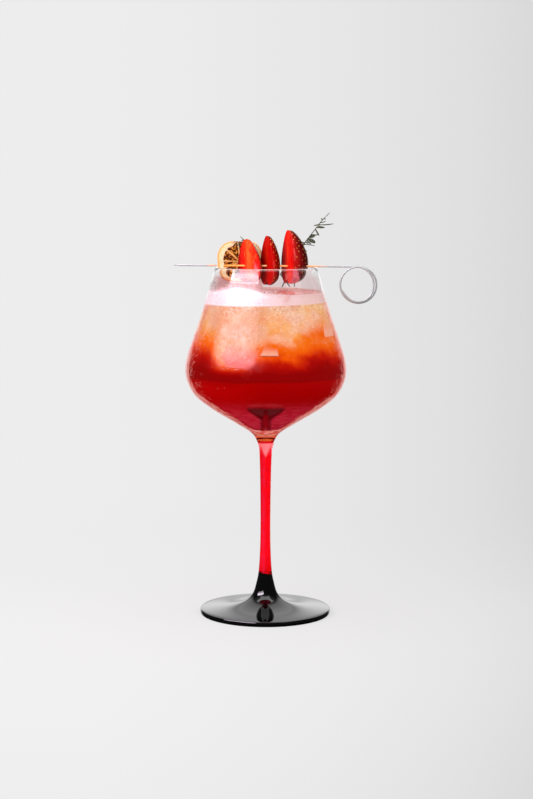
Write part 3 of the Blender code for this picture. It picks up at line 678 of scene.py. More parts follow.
def clear_glass_finish():
    """Clear glass: breath at its left, a pink cast over the drink, wet relief, a crisp edge to the foam on it, and
    painted light that makes its rim, its edges and the foam's crest glow.
    """
    material, shader, place = start_finish("clear glass", Base_Color=(1, 1, 1, 1), IOR=1.47, Metallic=0.0,
                                           Transmission_Weight=1.0, Emission_Strength=1.0)
    x, y, z = split(place)
    patches = cloudy(place, 120.0, 4.0, 0.6)
    uneven = z + (patches - 0.5) * 0.006
    mist = within(uneven, 0.163, 0.173, 0.213, 0.218) * (patches * 0.10)
    side = blend(graded(z, 0.2165, 0.2185), below(x, -0.008, 0.010), below(x, -0.0035, -0.0015))
    side = side * largest(graded(z, 0.196, 0.206), graded(x, -0.040, -0.030))
    breath = within(uneven, 0.164, 0.176, 0.2195, 0.2222) * side * graded(patches, 0.3, 0.7, 0.20, 0.40)

    crest = ramp(x, [(across * MM, grey((height - 210) / 10)) for across, height in FOAM_CREST], -0.036, 0.036)
    frothy = below(z - (crest * 0.01 + 0.210), -0.0003, 0.0004) * below(y, -0.014, -0.004) * graded(z, 0.2110, 0.2125)
    veil = within(z, 0.211, 0.214, 0.2238, 0.2252) * (1.0 - frothy)
    left = graded(x, -0.0035, -0.0015, 1.0, 0.25) * graded(x, -0.036, -0.029, 0.3, 1.0)
    tone = blend(veil * left, grey(1.0), (0.88, 0.62, 0.62, 1))
    tone = blend(below(z, 0.198, 0.207), tone, JUICE_ON_GLASS)
    tone = blend(below(z, 0.1185, 0.1225), tone, (0.90, 0.14, 0.03, 1))

    wet = within(z, 0.140, 0.160, 0.205, 0.212) * graded(z, 0.172, 0.184, 0.35, 1.0)
    drops = below(cells(place, 750.0), 0.12, 0.42) * graded(cloudy(place, 85.0, 2.0), 0.36, 0.52)
    ripples = cloudy(stretched(place, (1, 1, 0.8)), 330.0, 2.0, 0.5, 1.2)
    film = ripples * 0.9 * within(z, 0.165, 0.180, 0.206, 0.211)
    # Painted light: the rim glows, the glass glows where it turns away above the foam, and a thin line glows along the
    # foam's crest
    rim = largest(graded(z, 0.2280, 0.2298) * 0.07,
                  graded(facing_away(place), 0.40, 0.85, 0.0, 0.17) * graded(z, 0.211, 0.216))
    glow = largest(rim, frothy * (below(x, -0.001, 0.004) * graded(x, -0.030, -0.018, 0.02, 0.09)))
    feed(shader, Roughness=largest(mist, breath), Base_Color=tone, Emission_Color=as_grey(glow),
         Normal=bumped(film + drops * wet, 0.5, 0.0004))
    return material


def red_glass_finish():
    """Red glass, mottled below, with painted highlights under the bowl and low down, and painted shade at its edges."""
    material, shader, place = start_finish("red glass", IOR=1.47, Transmission_Weight=1.0, Metallic=0.0, Roughness=0.0,
                                           Emission_Strength=0.16)
    x, y, z = split(place)
    glow = ramp(z, STEM_COLOURS, STEM_COLOURS[0][0], STEM_COLOURS[-1][0])
    mottled = cloudy(stretched(place, (1, 1, 0.35)), 420.0, 3.0, 0.6)
    # Painted highlight: a pale point under the bowl, facing each of four sides
    point = z + mottled * 0.003 - least(abs(x), abs(y)) * 2.3
    glow = blend(graded(point, 0.1050, 0.1085) * below(z, 0.1142, 0.1149), glow, tint(255, 128, 134))
    lower = below(z, 0.1026, 0.1080)
    glow = blend(graded(mottled, 0.50, 0.66, 0.0, 0.55) * lower, glow, tint(206, 2, 10))
    # Painted highlight: a pink streak low down, left of the middle
    highlight_streak = within(x, -0.0028, -0.0016, -0.0010, 0.0004) * lower * graded(mottled, 0.40, 0.58, 0.15, 0.6)
    glow = blend(highlight_streak, glow, tint(240, 40, 84))
    # Painted shade: darker towards the edges low down
    glow = blend(graded(facing_away(place), 0.45, 0.80) * (lower * 0.8), glow, tint(120, 4, 14))
    # Painted shade: the lower stem is dark where it is seen mirrored from further off than 9 mm
    glow = blend(mirrored_beyond(place, 0.009) * below(z, 0.06, 0.08), glow, tint(44, 1, 6))
    # Painted light: the glass glows faintly in its own colours
    feed(shader, Base_Color=glow, Emission_Color=glow)
    return material


def black_glass_finish():
    material, shader, place = start_finish("black glass", Base_Color=(0.0008, 0.0008, 0.001, 1), IOR=1.5,
                                           Specular_IOR_Level=0.85)
    feed(shader, Roughness=graded(cloudy(place, 90.0), 0.35, 0.7, 0.015, 0.05))
    return material


# Drink and foam

def contents_radius(heights):
    wall = offset_inwards(INSIDE, -INTO_WALL)
    return np.interp(heights, wall[::-1, 1], wall[::-1, 0])


def red_surface(x, y):
    return 1.2 * np.sin(x / 11 + 0.6) * np.cos(y / 14 - 0.4) - 0.012 * x


def drink_surface(x, y):
    return 0.02 * x


def foam_surface(x, y):
    """The foam's top: a hump at the front left, a low swell behind and small unevenness."""
    hump = 4.0 * np.exp(-0.5 * ((x + 19) ** 2 + (y + 31) ** 2) / 13.0**2)
    return hump + 0.6 * np.sin(y / 24) + 0.25 * np.sin(x / 4.5 + 1.0) * np.sin(y / 5.5)


def make_layer(low, low_surface, high, high_surface, rings):
    """A layer of what is in the bowl, its top and bottom shaped by their surface rules."""
    wall = offset_inwards(INSIDE, -INTO_WALL)[::-1]
    wall = [p for p in wall if low + WALL_POINTS_FROM < p[1] < high - WALL_POINTS_FROM]
    shares = np.linspace(0, 1, rings + 1)
    low_radius, high_radius = contents_radius([low, high])
    floor = [(low_radius * s, low) for s in shares] if low > INSIDE_BOTTOM + 1 else [(0.0, low)]
    layer = spun([*floor, *wall, *[(high_radius * s, high) for s in shares[::-1]]])

    def lift(p):
        share = np.clip((p[:, 2] - low) / (high - low), 0, 1)
        rise = (1 - share) * low_surface(p[:, 0], p[:, 1]) + share * high_surface(p[:, 0], p[:, 1])
        stretch = np.where(p[:, 2] > INSIDE_BOTTOM + 3, contents_radius(p[:, 2] + rise) / contents_radius(p[:, 2]), 1.0)
        return np.stack([p[:, 0] * stretch, p[:, 1] * stretch, p[:, 2] + rise], axis=1)

    reshape(layer, lift)
    return smoothed(layer, 50)


def flat(x, y):
    return 0.0 * x


def through_glass(colour):
    """Takes back the pink that the bowl's wall adds to what is behind it."""
    return blend(1.0, colour, (1.0, JUICE_ON_GLASS[1] ** -0.5, JUICE_ON_GLASS[2] ** -0.5, 1.0), "MULTIPLY")


def tea_finish(name, tea):
    """The drink's colours, with a pale band inside its outline as the wall bends the light there."""
    material, shader, place = start_finish(name, Roughness=1.0, Specular_IOR_Level=0.0, Emission_Strength=0.8)
    veins = cloudy(stretched(place, (1, 1, 0.4)), 260.0, 3.0, 0.6)
    colour = blend(graded(facing_away(place) + veins * 0.016, 0.263, 0.274, 0.0, 0.92),
                   through_glass(from_group(tea, Vector=place)),
                   blend(graded(veins, 0.40, 0.58), tint(232, 96, 84), tint(255, 176, 166)))
    # Painted shade: the drink is dark wherever it is seen mirrored from further off than 8 cm
    colour = blend(mirrored_beyond(place, 0.08), colour, tint(36, 0, 4))
    # Painted light: the drink glows in its own colours, standing in for light through it
    feed(shader, Base_Color=darkened(colour, 0.22), Emission_Color=colour)
    return material


def foam_finish():
    """Pinkish froth, whiter at the front left, with painted red shade and reflection of the right strawberry on it."""
    material, shader, place = start_finish("foam", Roughness=0.75, Specular_IOR_Level=0.25, Emission_Strength=0.5)
    x, _, z = split(place)
    soft = cloudy(place, 90.0)
    out_from_axis = length(stretched(place, (1, 1, 0)))
    at_wall = graded(out_from_axis + (z - 0.217) * 0.275, 0.0353, 0.0358)
    colour = blend(graded(x + soft * 0.02, -0.01, 0.045), tint(252, 230, 237), tint(250, 212, 208))
    colour = blend(at_wall, blend(soft, tint(232, 178, 174), tint(216, 150, 142)), colour)
    # Painted shade and red reflection of the right strawberry on the froth
    berry_shade = length(stretched(place, (1, 0.27, 0.3), (-0.0128, 0.0034, -0.0642))) + cloudy(place, 260.0) * 0.004
    colour = blend(graded(berry_shade, 0.0055, 0.0098, 0.75, 0.0), colour, tint(214, 84, 72))
    bubbles = cells(place, 900.0)
    colour = blend(graded(bubbles, 0.30, 0.05, 0.0, 0.22), colour, tint(226, 150, 148))
    # Painted light: the froth glows in its own colours
    feed(shader, Base_Color=darkened(colour, 0.55), Emission_Color=colour,
         Normal=bumped(bubbles + cells(place, 2100.0) * 0.5, 0.6, 0.0004))
    return material


# Froth, bits of fruit, droplets and ice

def on_wall(line, height, turn):
    """Place on a wall line and its outward direction, at an angle around the bowl from the front."""
    under, here, over = np.interp([height - 0.5, height, height + 0.5], line[::-1, 1], line[::-1, 0])
    way = Vector((math.sin(turn), -math.cos(turn), 0))
    return way * here + Vector((0, 0, height)), (way + Vector((0, 0, under - over))).normalized()


def scattered(name, spots, finish):
    """Copies of one flattened drop at each spot: place, outward direction, size and flatness."""
    start_fresh()
    bpy.ops.mesh.primitive_ico_sphere_add(subdivisions=2, radius=MM)
    model = bpy.context.object
    bpy.ops.object.shade_smooth()
    drops = copies(model, [Matrix.Translation(place * MM) @ out.to_track_quat("Z", "Y").to_matrix().to_4x4()
                           @ Matrix.Diagonal((size, size, size * flatness, 1)) for place, out, size, flatness in spots])
    return dress(joined(drops), name, [finish])


def make_froth(finish):
    """Froth left on the inner wall above the foam, most of it at the front left."""
    draw = random.Random(11)
    spots = []
    for _ in range(FROTH_COUNT):
        turn = math.radians(draw.gauss(-30, 24) if draw.random() < 0.5 else draw.uniform(-180, 180))
        height = foam_line(turn) + abs(draw.gauss(0, 1.5)) + draw.uniform(-0.5, 0.3)
        place, out = on_wall(INSIDE, height, turn)
        size = draw.uniform(0.10, 0.34) * max(0.35, 1.2 - (height - foam_line(turn)) / 5)
        spots.append((place + out * 0.05, -out, size, 0.6))
    return scattered("froth", spots, finish)


def foam_line(turn):
    """Height at which the foam meets the wall."""
    x, y = FOAM_RADIUS * math.sin(turn), -FOAM_RADIUS * math.cos(turn)
    return FOAM_LEVEL + float(foam_surface(x, y))


def make_fruit_bits(finish):
    """Small brown and red bits that lie on the foam, most of them below the fruit."""
    draw = random.Random(23)
    spots = []
    for _ in range(BITS_COUNT):
        x, y = draw.gauss(-1.5, 3.2), draw.uniform(-35, -4)
        if draw.random() < 0.3:
            x, y = draw.uniform(-26, 24), draw.uniform(-24, 24)
        place = Vector((x, y, FOAM_LEVEL + float(foam_surface(x, y)) + 0.05))
        tip = Vector((draw.uniform(-0.5, 0.5), draw.uniform(-0.5, 0.5), 1)).normalized()
        spots.append((place, tip, draw.uniform(0.14, 0.42), draw.uniform(0.4, 0.9)))
    return scattered("fruit_bits", spots, finish)


def make_droplets(finish):
    """Condensation on the outside, thickest below the level of the drink and thin at the lower front."""
    draw = random.Random(31)
    outer = smooth_line(BOWL_OUTLINE)
    spots = []
    while len(spots) < DROPLET_COUNT:
        height, turn = draw.triangular(136, 212, 184), draw.uniform(-math.pi, math.pi)
        size = draw.uniform(0.10, 0.22) if draw.random() < 0.9 else draw.uniform(0.24, 0.46)
        if height < 176 and abs(turn) < 1.15 and draw.random() < 0.85:
            continue
        place, out = on_wall(outer, height, turn)
        spots.append((place, out, size, 0.5))
    return scattered("droplets", spots, finish)


def make_stem_droplets(finish):
    """The larger drops seen on the stem, and small ones, most of them at its right."""
    draw = random.Random(37)
    outline = smooth_line(STEM_OUTLINE)
    spots = []
    for turn, height, size in STEM_DROPS:
        place, out = on_wall(outline, height, math.radians(turn))
        spots.append((place, out, size, 0.55))
    for _ in range(STEM_DROPLET_COUNT):
        turn = math.radians(draw.gauss(85, 18) if draw.random() < 0.6 else draw.uniform(-180, 180))
        place, out = on_wall(outline, draw.uniform(34, 112), turn)
        spots.append((place, out, draw.uniform(0.14, 0.36), 0.5))
    return scattered("stem_droplets", spots, finish)


def make_ice(name, turn, low, high, width, lean, finish):
    """The face of an ice cube that touches the bowl's wall from inside."""
    start_fresh()
    bpy.ops.mesh.primitive_cube_add(size=2 * MM)
    cube = bpy.context.object
    with editing(cube):
        bpy.ops.mesh.bevel(offset=0.22 * MM, segments=3, affect="EDGES")
        bpy.ops.mesh.select_all(action="SELECT")
        bpy.ops.mesh.subdivide(number_cuts=9)

    mesh = cube.data
    face = mesh.uv_layers.new(name="face")
    for loop in mesh.loops:
        corner = mesh.vertices[loop.vertex_index].co / MM
        face.data[loop.index].uv = (corner.x / 2 + 0.5, corner.z / 2 + 0.5)

    def onto_wall(p):
        up = (p[:, 2] + 1) / 2
        height = low + (high - low) * up + lean * p[:, 0] * up
        wall = contents_radius(height)
        across = math.radians(turn) + (p[:, 0] * (1 - 0.32 * up) + 0.18 * up) * width / 2 / wall
        radius = wall + ICE_INTO_WALL - ICE_DEPTH * (p[:, 1] + 1) / 2
        return np.stack([radius * np.sin(across), -radius * np.cos(across), height], axis=1)

    reshape(cube, onto_wall)
    with editing(cube):
        bpy.ops.mesh.normals_make_consistent(inside=False)
    return dress(smoothed(cube, 40), name, [finish])


def drop_finish():
    material, shader, place = start_finish("water drops", Base_Color=(1, 1, 1, 1), IOR=1.33, Roughness=0.0,
                                           Transmission_Weight=1.0, Metallic=0.0)
    feed(shader, Roughness=graded(cloudy(place, 300.0), 0.5, 0.8, 0.0, 0.08))
    return material


def bits_finish():
    material, shader, place = start_finish("fruit bits", Roughness=0.5)
    feed(shader, Base_Color=ramp(cloudy(place, 450.0, 1.0), [(0.35, tint(88, 34, 14)), (0.5, tint(150, 56, 30)),
                                                             (0.65, tint(206, 88, 60))]))
    return material


def ice_finish(uneven, tea):
    """Ice in the drink's colours: it stands out most at its lower part, over a dark lower edge of painted shade."""
    material, shader, place = start_finish("ice", Roughness=0.4, Specular_IOR_Level=0.0, Emission_Strength=0.8)
    patch = from_group(uneven, Vector=place, Size=0.003, Amount=0.4)
    up = split(mapped(place, "face"))[1]
    pale = maths("MULTIPLY", graded(up, 0.15, 1.0, 0.85, 0.1), patch, clamp=True)
    colour = blend(pale, from_group(tea, Vector=place), tint(251, 186, 160))
    # Painted shade: a dark line along the lower edge
    edge = below(up, 0.03, 0.13) * graded(split(place)[2], 0.178, 0.184, 0.85, 0.0)
    colour = through_glass(blend(edge, colour, tint(96, 10, 4)))
    # Painted light: the ice glows in its colours
    feed(shader, Base_Color=darkened(colour, 0.22), Emission_Color=colour)
    return material


# Skewer

def skewer_route():
    """Places along the wire and its thickness there: the pointed tip, the straight, the ring and its tail."""
    tip = SKEWER_TIP_X
    route = [((tip, 0, 0), 0.3), ((tip + 1.2, 0, 0), 0.55), ((tip + TIP_TAPER, 0, 0), 1.0)]
    route += [((x, 0, 0), 1.0) for x in np.linspace(tip + TIP_TAPER, RING_CENTRE_X - 2, 9)[1:]]
    steps = round(RING_TURNS * STEPS_IN_TURN)
    for turn in np.linspace(0, RING_TURNS, steps + 1):
        angle = math.pi / 2 - 2 * math.pi * turn
        tightened = min(max((turn - 1.0) / 0.25, 0.0), 1.0)
        radius = RING_RADIUS - RING_SHRINK * tightened
        route.append(((RING_CENTRE_X + radius * math.cos(angle), -RING_PITCH * turn,
                       -RING_RADIUS - RING_DROP * tightened + radius * math.sin(angle)), 1.0))
    last, ahead = Vector(route[-1][0]), Vector((math.sin(angle), 0, -math.cos(angle)))
    return route + [(tuple(last + ahead * TAIL_LENGTH * share), 1.0) for share in (0.35, 0.7, 1.0)]


def make_skewer(finish):
    start_fresh()
    bpy.ops.curve.primitive_nurbs_path_add()
    curve = bpy.context.object.data
    curve.splines.clear()
    spline = curve.splines.new("POLY")
    route = skewer_route()
    spline.points.add(len(route) - 1)
    for point, (place, radius) in zip(spline.points, route):
        point.co = (*[c * MM for c in place], 1.0)
        point.radius = radius
    curve.bevel_depth = WIRE_RADIUS * MM
    curve.bevel_resolution = 6
    curve.use_fill_caps = True
    bpy.ops.object.convert(target="MESH")
    wire = bpy.context.object
    placed(wire, SKEWER)
    return dress(smoothed(wire, 50), "skewer_wire", [finish], ["skewer"])


def steel_finish():
    """Drawn wire with a painted reflection of the fruit's warm colours next to it, and a faint painted glow."""
    material, shader, place = start_finish("steel wire", Metallic=0.6, Emission_Strength=0.24)
    drawn = cloudy(stretched(place, (40, 900, 900)), 6.0)
    warm = ramp(split(place)[0], [(x * MM, grey(share)) for x, share in WARM_ON_WIRE], -0.060, 0.060)
    colour = blend(warm, blend(drawn, tint(158, 158, 160), tint(194, 194, 194)), tint(250, 158, 52))
    # Painted light: the wire glows faintly in its colours
    feed(shader, Base_Color=colour, Emission_Color=colour, Roughness=graded(drawn, 0.3, 0.7, 0.30, 0.45))
    return material


# Citrus wheel

def wheel_relief(p):
    """Shapes a flat wheel of radius WHEEL_UNIT. Returns its places, and masks for its colours."""
    half = WHEEL_THICKNESS / 2
    share = np.hypot(p[:, 0], p[:, 1]) / WHEEL_UNIT
    angle = np.arctan2(p[:, 1], p[:, 0])

    def around(centre, width, power):
        return np.exp(-((np.degrees(angle) - centre) / width) ** power)

    # Membranes between the segments, closer together at the lower left, and the soft core
    turn = ((angle - 0.3 + 0.28 * around(-139, 45, 2)) / (2 * math.pi) * WHEEL_SEGMENTS) % 1.0
    beside = np.minimum(turn, 1 - turn) * 2 * math.pi * MEAN_RADIUS * share / WHEEL_SEGMENTS
    membrane = 1 - np.clip((beside - MEMBRANE_HALF) / MEMBRANE_SLOPE, 0, 1)
    inner = np.clip((share - 0.10) / 0.06, 0, 1)

    # Flesh ends at the pith, which is thinner at the top and at the lower left
    top, low = around(93, 17, 4), around(-112, 40, 4)
    rounds = np.stack([np.cos(angle) * 4, np.sin(angle) * 4, 0 * angle], axis=1)
    pith_at = PITH_START + 0.17 * top + 0.05 * low + 0.02 * lumps(rounds, 1.0, 2.0)
    pulp = (1 - membrane) * inner * np.clip((pith_at - share) / 0.05, 0, 1)

    # Sunken, wrinkled flesh and a faint ripple elsewhere
    drops = np.stack([angle * 7.0, share * 8.0, np.sign(p[:, 2]) * 3], axis=1)
    wrinkle = 0.75 * lumps(drops, 0.8, 5.0) + 0.5 * lumps(drops, 0.36, 9.0)
    ripple = 0.10 * lumps(np.stack([p[:, 0], p[:, 1], p[:, 2] * 3], axis=1), 1.1, 4.0)
    depth = pulp * (POCKET_DEPTH - 0.24 * wrinkle) + (1 - pulp) * ripple * (share < 0.97)

    # Outline with soft corners, and a slice that is a little warped
    side = np.clip(p[:, 2] / half, -1, 1)
    reach = share * (1.0 + WHEEL_CORNERS * np.sin(2 * angle)**2 + 0.010 * np.sin(3 * angle + 0.7)
                     + 0.010 * np.sin(7 * angle))
    x = WHEEL_HALF_WIDTH * reach * np.cos(angle)
    z = WHEEL_HALF_HEIGHT * reach * np.sin(angle)
    y = side * half - np.sign(side) * np.clip(depth, -0.05, 0.8) * (np.abs(side) > 0.9) \
        + 0.35 * reach**2 * np.cos(2 * angle)
    burnt = top * np.clip((share - 0.60) / 0.25, 0, 1)
    masks = np.stack([pulp, np.clip(0.5 + 0.5 * wrinkle, 0, 1), np.clip(share, 0, 1), burnt], axis=1)
    return np.stack([x, y, z], axis=1), masks


def make_citrus_wheel(finish):
    """A dried slice: rind, pith and membranes stand over sunken, wrinkled flesh."""
    shares = np.linspace(0.0, 0.965, 44)
    half = WHEEL_THICKNESS / 2
    edge = [(0.985, -0.8), (1.0, -0.45), (1.0, 0.0), (1.0, 0.45), (0.985, 0.8)]
    outline = [(s, -1.0) for s in shares] + edge + [(s, 1.0) for s in shares[::-1]]
    wheel = spun([(WHEEL_UNIT * s, half * k) for s, k in outline], 252)
    masks = []

    def relief(p):
        places, found = wheel_relief(p)
        masks.append(found)
        return places

    reshape(wheel, relief)
    attribute = wheel.data.color_attributes.new("slice", "FLOAT_COLOR", "POINT")
    attribute.data.foreach_set("color", masks[0].ravel())
    placed(wheel, WHEEL)
    bpy.ops.object.shade_smooth()
    return dress(wheel, "citrus_slice", [finish], ["citrus_wheel"])


def citrus_finish(uneven):
    """Dried citrus: tan rind, cream pith, amber ridges on dark dried flesh, burnt towards the top."""
    material, shader, place = start_finish("dried citrus", Roughness=0.5, Specular_IOR_Level=0.2)
    stored = node("Attribute", (), "Color", place.socket.id_data, attribute_name="slice")
    pulp, wrinkle, outwards = [Signal(s) for s in node("SeparateColor", {0: stored}).socket.node.outputs]
    burnt = Signal(stored.socket.node.outputs["Alpha"])
    patch = from_group(uneven, Vector=place, Size=0.0016, Amount=0.5)
    flesh = ramp(wrinkle * patch, [(0.28, tint(58, 20, 3)), (0.46, tint(104, 44, 6)), (0.58, tint(172, 92, 16)),
                                   (0.72, tint(226, 148, 40)), (0.9, tint(244, 190, 92))])
    pith = ramp(outwards, [(0.0, tint(226, 172, 96)), (0.70, tint(238, 190, 120)), (0.79, tint(255, 240, 198)),
                           (0.93, tint(255, 234, 180)), (0.965, tint(246, 180, 110)), (1.0, tint(232, 146, 76))])
    pith = blend(graded(patch, 0.7, 1.15, 0.4, 0.0), pith, tint(230, 160, 84))
    colour = blend(graded(pulp, 0.25, 0.7), pith, flesh)
    colour = blend(burnt * graded(patch, 0.7, 1.3, 0.95, 0.45), colour, tint(66, 30, 10))
    feed(shader, Base_Color=colour, Normal=bumped(cloudy(place, 1400.0, 4.0, 0.6), 0.5, 0.0003))
    return material


# Thyme

def make_thyme(sprig_node, finish):
    """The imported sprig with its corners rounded."""
    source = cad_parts[sprig_node]
    sprig = source.copy()
    sprig.data = source.data.copy()
    for key in list(sprig.keys()):
        del sprig[key]
    bpy.context.collection.objects.link(sprig)
    with editing(sprig):
        bpy.ops.mesh.remove_doubles(threshold=SAME_PLACE)
    rounded = sprig.modifiers.new("rounded", "SUBSURF")
    rounded.levels = rounded.render_levels = 1
    bpy.ops.object.modifier_apply(modifier="rounded")
    bpy.ops.object.shade_smooth()
    return dress(sprig, sprig_node + "_sprig", [finish], [sprig_node])


def thyme_finish(uneven):
    material, shader, place = start_finish("thyme", Roughness=0.6, Specular_IOR_Level=0.3)
    patch = from_group(uneven, Vector=place, Size=0.0022, Amount=0.6)
    colour = ramp(patch * 0.5, [(0.25, tint(18, 20, 14)), (0.42, tint(52, 54, 40)), (0.6, tint(104, 108, 86)),
                                (0.8, tint(160, 158, 136))])
    feed(shader, Base_Color=colour, Normal=bumped(cloudy(place, 1800.0), 0.4, 0.0002))
    return material


# Strawberries

def berry_radius(share):
    """Half width of a strawberry at a share of its height, as a share of its widest."""
    outline = smooth_line(BERRY_OUTLINE)
    return np.interp(share, outline[:, 0], outline[:, 1])


def berry_spots(berry):
    """Places and outward directions of the seeds on the skin, in a spiral, and their sizes."""
    draw = random.Random(berry["seed"])
    golden = math.pi * (3 - math.sqrt(5))
    spots = []
    for k in range(SEED_COUNT):
        share = 0.07 + 0.88 * (k + 0.5) / SEED_COUNT
        angle = (k * golden + draw.uniform(-0.12, 0.12)) % (2 * math.pi)
        if not SEED_FROM_CUT < angle < math.pi - SEED_FROM_CUT:
            continue
        reach = float(berry_radius(share)) * float(berry_unevenness(angle, share))
        slope = float(berry_radius(share - 0.02) - berry_radius(share + 0.02)) / 0.04
        place = Vector((berry["width"] * reach * math.cos(angle) + berry["lean"] * share**2,
                        berry["depth"] * reach * math.sin(angle), berry["height"] * share))
        out = Vector((math.cos(angle) / berry["width"], math.sin(angle) / berry["depth"],
                      slope / berry["height"])).normalized()
        spots.append((place, out, draw.uniform(0.85, 1.15)))
    return spots


def berry_unevenness(angle, share):
    return 1.0 + 0.02 * np.sin(3 * angle + 5 * share)


def berry_rule(berry, spots):
    """The rule that turns a spun outline into the half, with dents for the seeds and a scoop at the hull."""
    def shape(p):
        p = p.copy()
        share = np.clip(p[:, 2] / berry["height"], 0, 1)
        cut = p[:, 1] < -1e-4
        uneven = np.where(cut, 1.0, berry_unevenness(np.arctan2(p[:, 1], p[:, 0]), share))
        p[:, 0] = p[:, 0] * uneven + berry["lean"] * share**2
        p[:, 1] = np.where(cut, 0.0, p[:, 1] * uneven * berry["depth"] / berry["width"])
        for place, out, _ in spots:
            away = np.linalg.norm(p - np.array(place), axis=1)
            near = away < 2.4
            dent = DENT_DEPTH * np.exp(-(away[near] / DENT_RADIUS) ** 2)
            p[near] -= np.array(out) * (dent * (~cut[near]))[:, None]
        scoop = np.clip(1 - np.hypot(p[:, 0], p[:, 1]) / HULL_RADIUS, 0, 1) * (share < 0.2)
        p[:, 2] += HULL_DEPTH * scoop
        p[:, 1] += np.where(cut, 0.04 * lumps(p, 1.4, berry["seed"]), 0.0)
        return p

    return shape


def map_berry(mesh, berry):
    """Two maps, both with the height: flesh has the place across the cut, and skin the turn from edge to edge."""
    corners = np.empty(len(mesh.loops), dtype=int)
    mesh.loops.foreach_get("vertex_index", corners)
    places = np.array([v.co for v in mesh.vertices]) / MM
    share = places[:, 2] / berry["height"]
    across = (places[:, 0] - berry["lean"] * share**2) / berry["width"]
    turn = np.arctan2(np.maximum(places[:, 1] / berry["depth"], 0.0), across) / math.pi
    for name, side in (("flesh", across * 0.5 + 0.5), ("skin", turn)):
        layer = mesh.uv_layers.new(name=name)
        layer.data.foreach_set("uv", np.stack([side[corners], share[corners]], axis=1).ravel())


def berry_seeds(spots):
    """Drop-shaped seeds, each set into its dent."""
    start_fresh()
    bpy.ops.mesh.primitive_uv_sphere_add(segments=8, ring_count=6, radius=0.5 * MM)
    model = bpy.context.object
    bpy.ops.object.shade_smooth()
    reshape(model, lambda p: p * np.stack([0.56 - 0.28 * p[:, 2], 0.40 + 0 * p[:, 2], 1.1 + 0 * p[:, 2]], axis=1))
    return copies(model, [Matrix.Translation((place - out * SEED_SUNK) * MM)
                          @ out.to_track_quat("Y", "Z").to_matrix().to_4x4() @ Matrix.Scale(size, 4)
                          for place, out, size in spots])


def make_strawberry(name, berry, finishes):
    """A half strawberry on the skewer. Its finishes are those of its skin, its flesh and its seeds."""
    outline = smooth_line(BERRY_OUTLINE)
    body = spun([(berry["width"] * r, berry["height"] * z) for z, r in outline], 96)
    spots = berry_spots(berry)
    body_faces = len(body.data.polygons)
    cut_faces = [f.index for f in body.data.polygons if f.center.y < -SAME_PLACE]
    reshape(body, berry_rule(berry, spots))
    map_berry(body.data, berry)

    half = joined([body, *berry_seeds(spots)])
    at = Vector((berry["x"], berry["y"], berry["bottom"] - SKEWER_HEIGHT)) * MM
    placed(half, SKEWER @ Matrix.Translation(at) @ Matrix.Rotation(-math.radians(berry["turn"]), 4, "Z"))
    dress(smoothed(half, 50), name + "_half", finishes, [name])
    finish_of = np.full(len(half.data.polygons), SEED, dtype=np.int32)
    finish_of[:body_faces] = SKIN
    finish_of[cut_faces] = FLESH
    half.data.polygons.foreach_set("material_index", finish_of)
    return half


def skin_finish(uneven):
    """Strawberry skin: painted light beside the cut and painted shade as it turns away, a painted highlight streak by
    the cut, and a pale patch by the right half's hull.
    """
    material, shader, place = start_finish("strawberry skin", Specular_IOR_Level=0.12, Coat_Weight=0.3,
                                           Coat_Roughness=0.04)
    patch = from_group(uneven, Vector=place, Size=0.006, Amount=0.5)
    around = split(mapped(place, "skin"))[0]
    from_cut = least(around, 1.0 - around)
    # Painted light and shade: the skin is bright by the cut edges and darkens as it turns away from them
    colour = ramp(from_cut, [(0.0, tint(206, 8, 3)), (0.06, tint(176, 3, 2)), (0.14, tint(120, 1, 1)),
                             (0.26, tint(62, 0, 1)), (0.5, tint(100, 1, 2))])
    colour = blend(graded(patch, 0.65, 1.1, 0.6, 0.0), colour, tint(60, 0, 1))
    # Painted highlight: a broken streak along the cut edge
    broken = graded(cloudy(stretched(place, (1, 1, 0.5)), 330.0, 2.0), 0.42, 0.60, 0.0, 0.5)
    highlight_streak = within(from_cut, 0.010, 0.022, 0.034, 0.052) * broken
    colour = blend(highlight_streak, colour, tint(244, 92, 84))
    # A pale pink patch by the right half's hull, partly the skin's own paler colour and partly a painted highlight
    from_hull = length(stretched(place, (1, 0.2, 0.6), (-0.0180, 0, -0.1342))) + cloudy(place, 420.0, 2.0) * 0.0022
    pale = blend(graded(from_hull, 0.0026, 0.0038), tint(186, 14, 38), tint(232, 92, 120))
    colour = blend(below(from_hull, 0.0042, 0.0050), colour, pale)
    feed(shader, Base_Color=colour, Roughness=graded(patch, 0.6, 1.4, 0.22, 0.38))
    return material


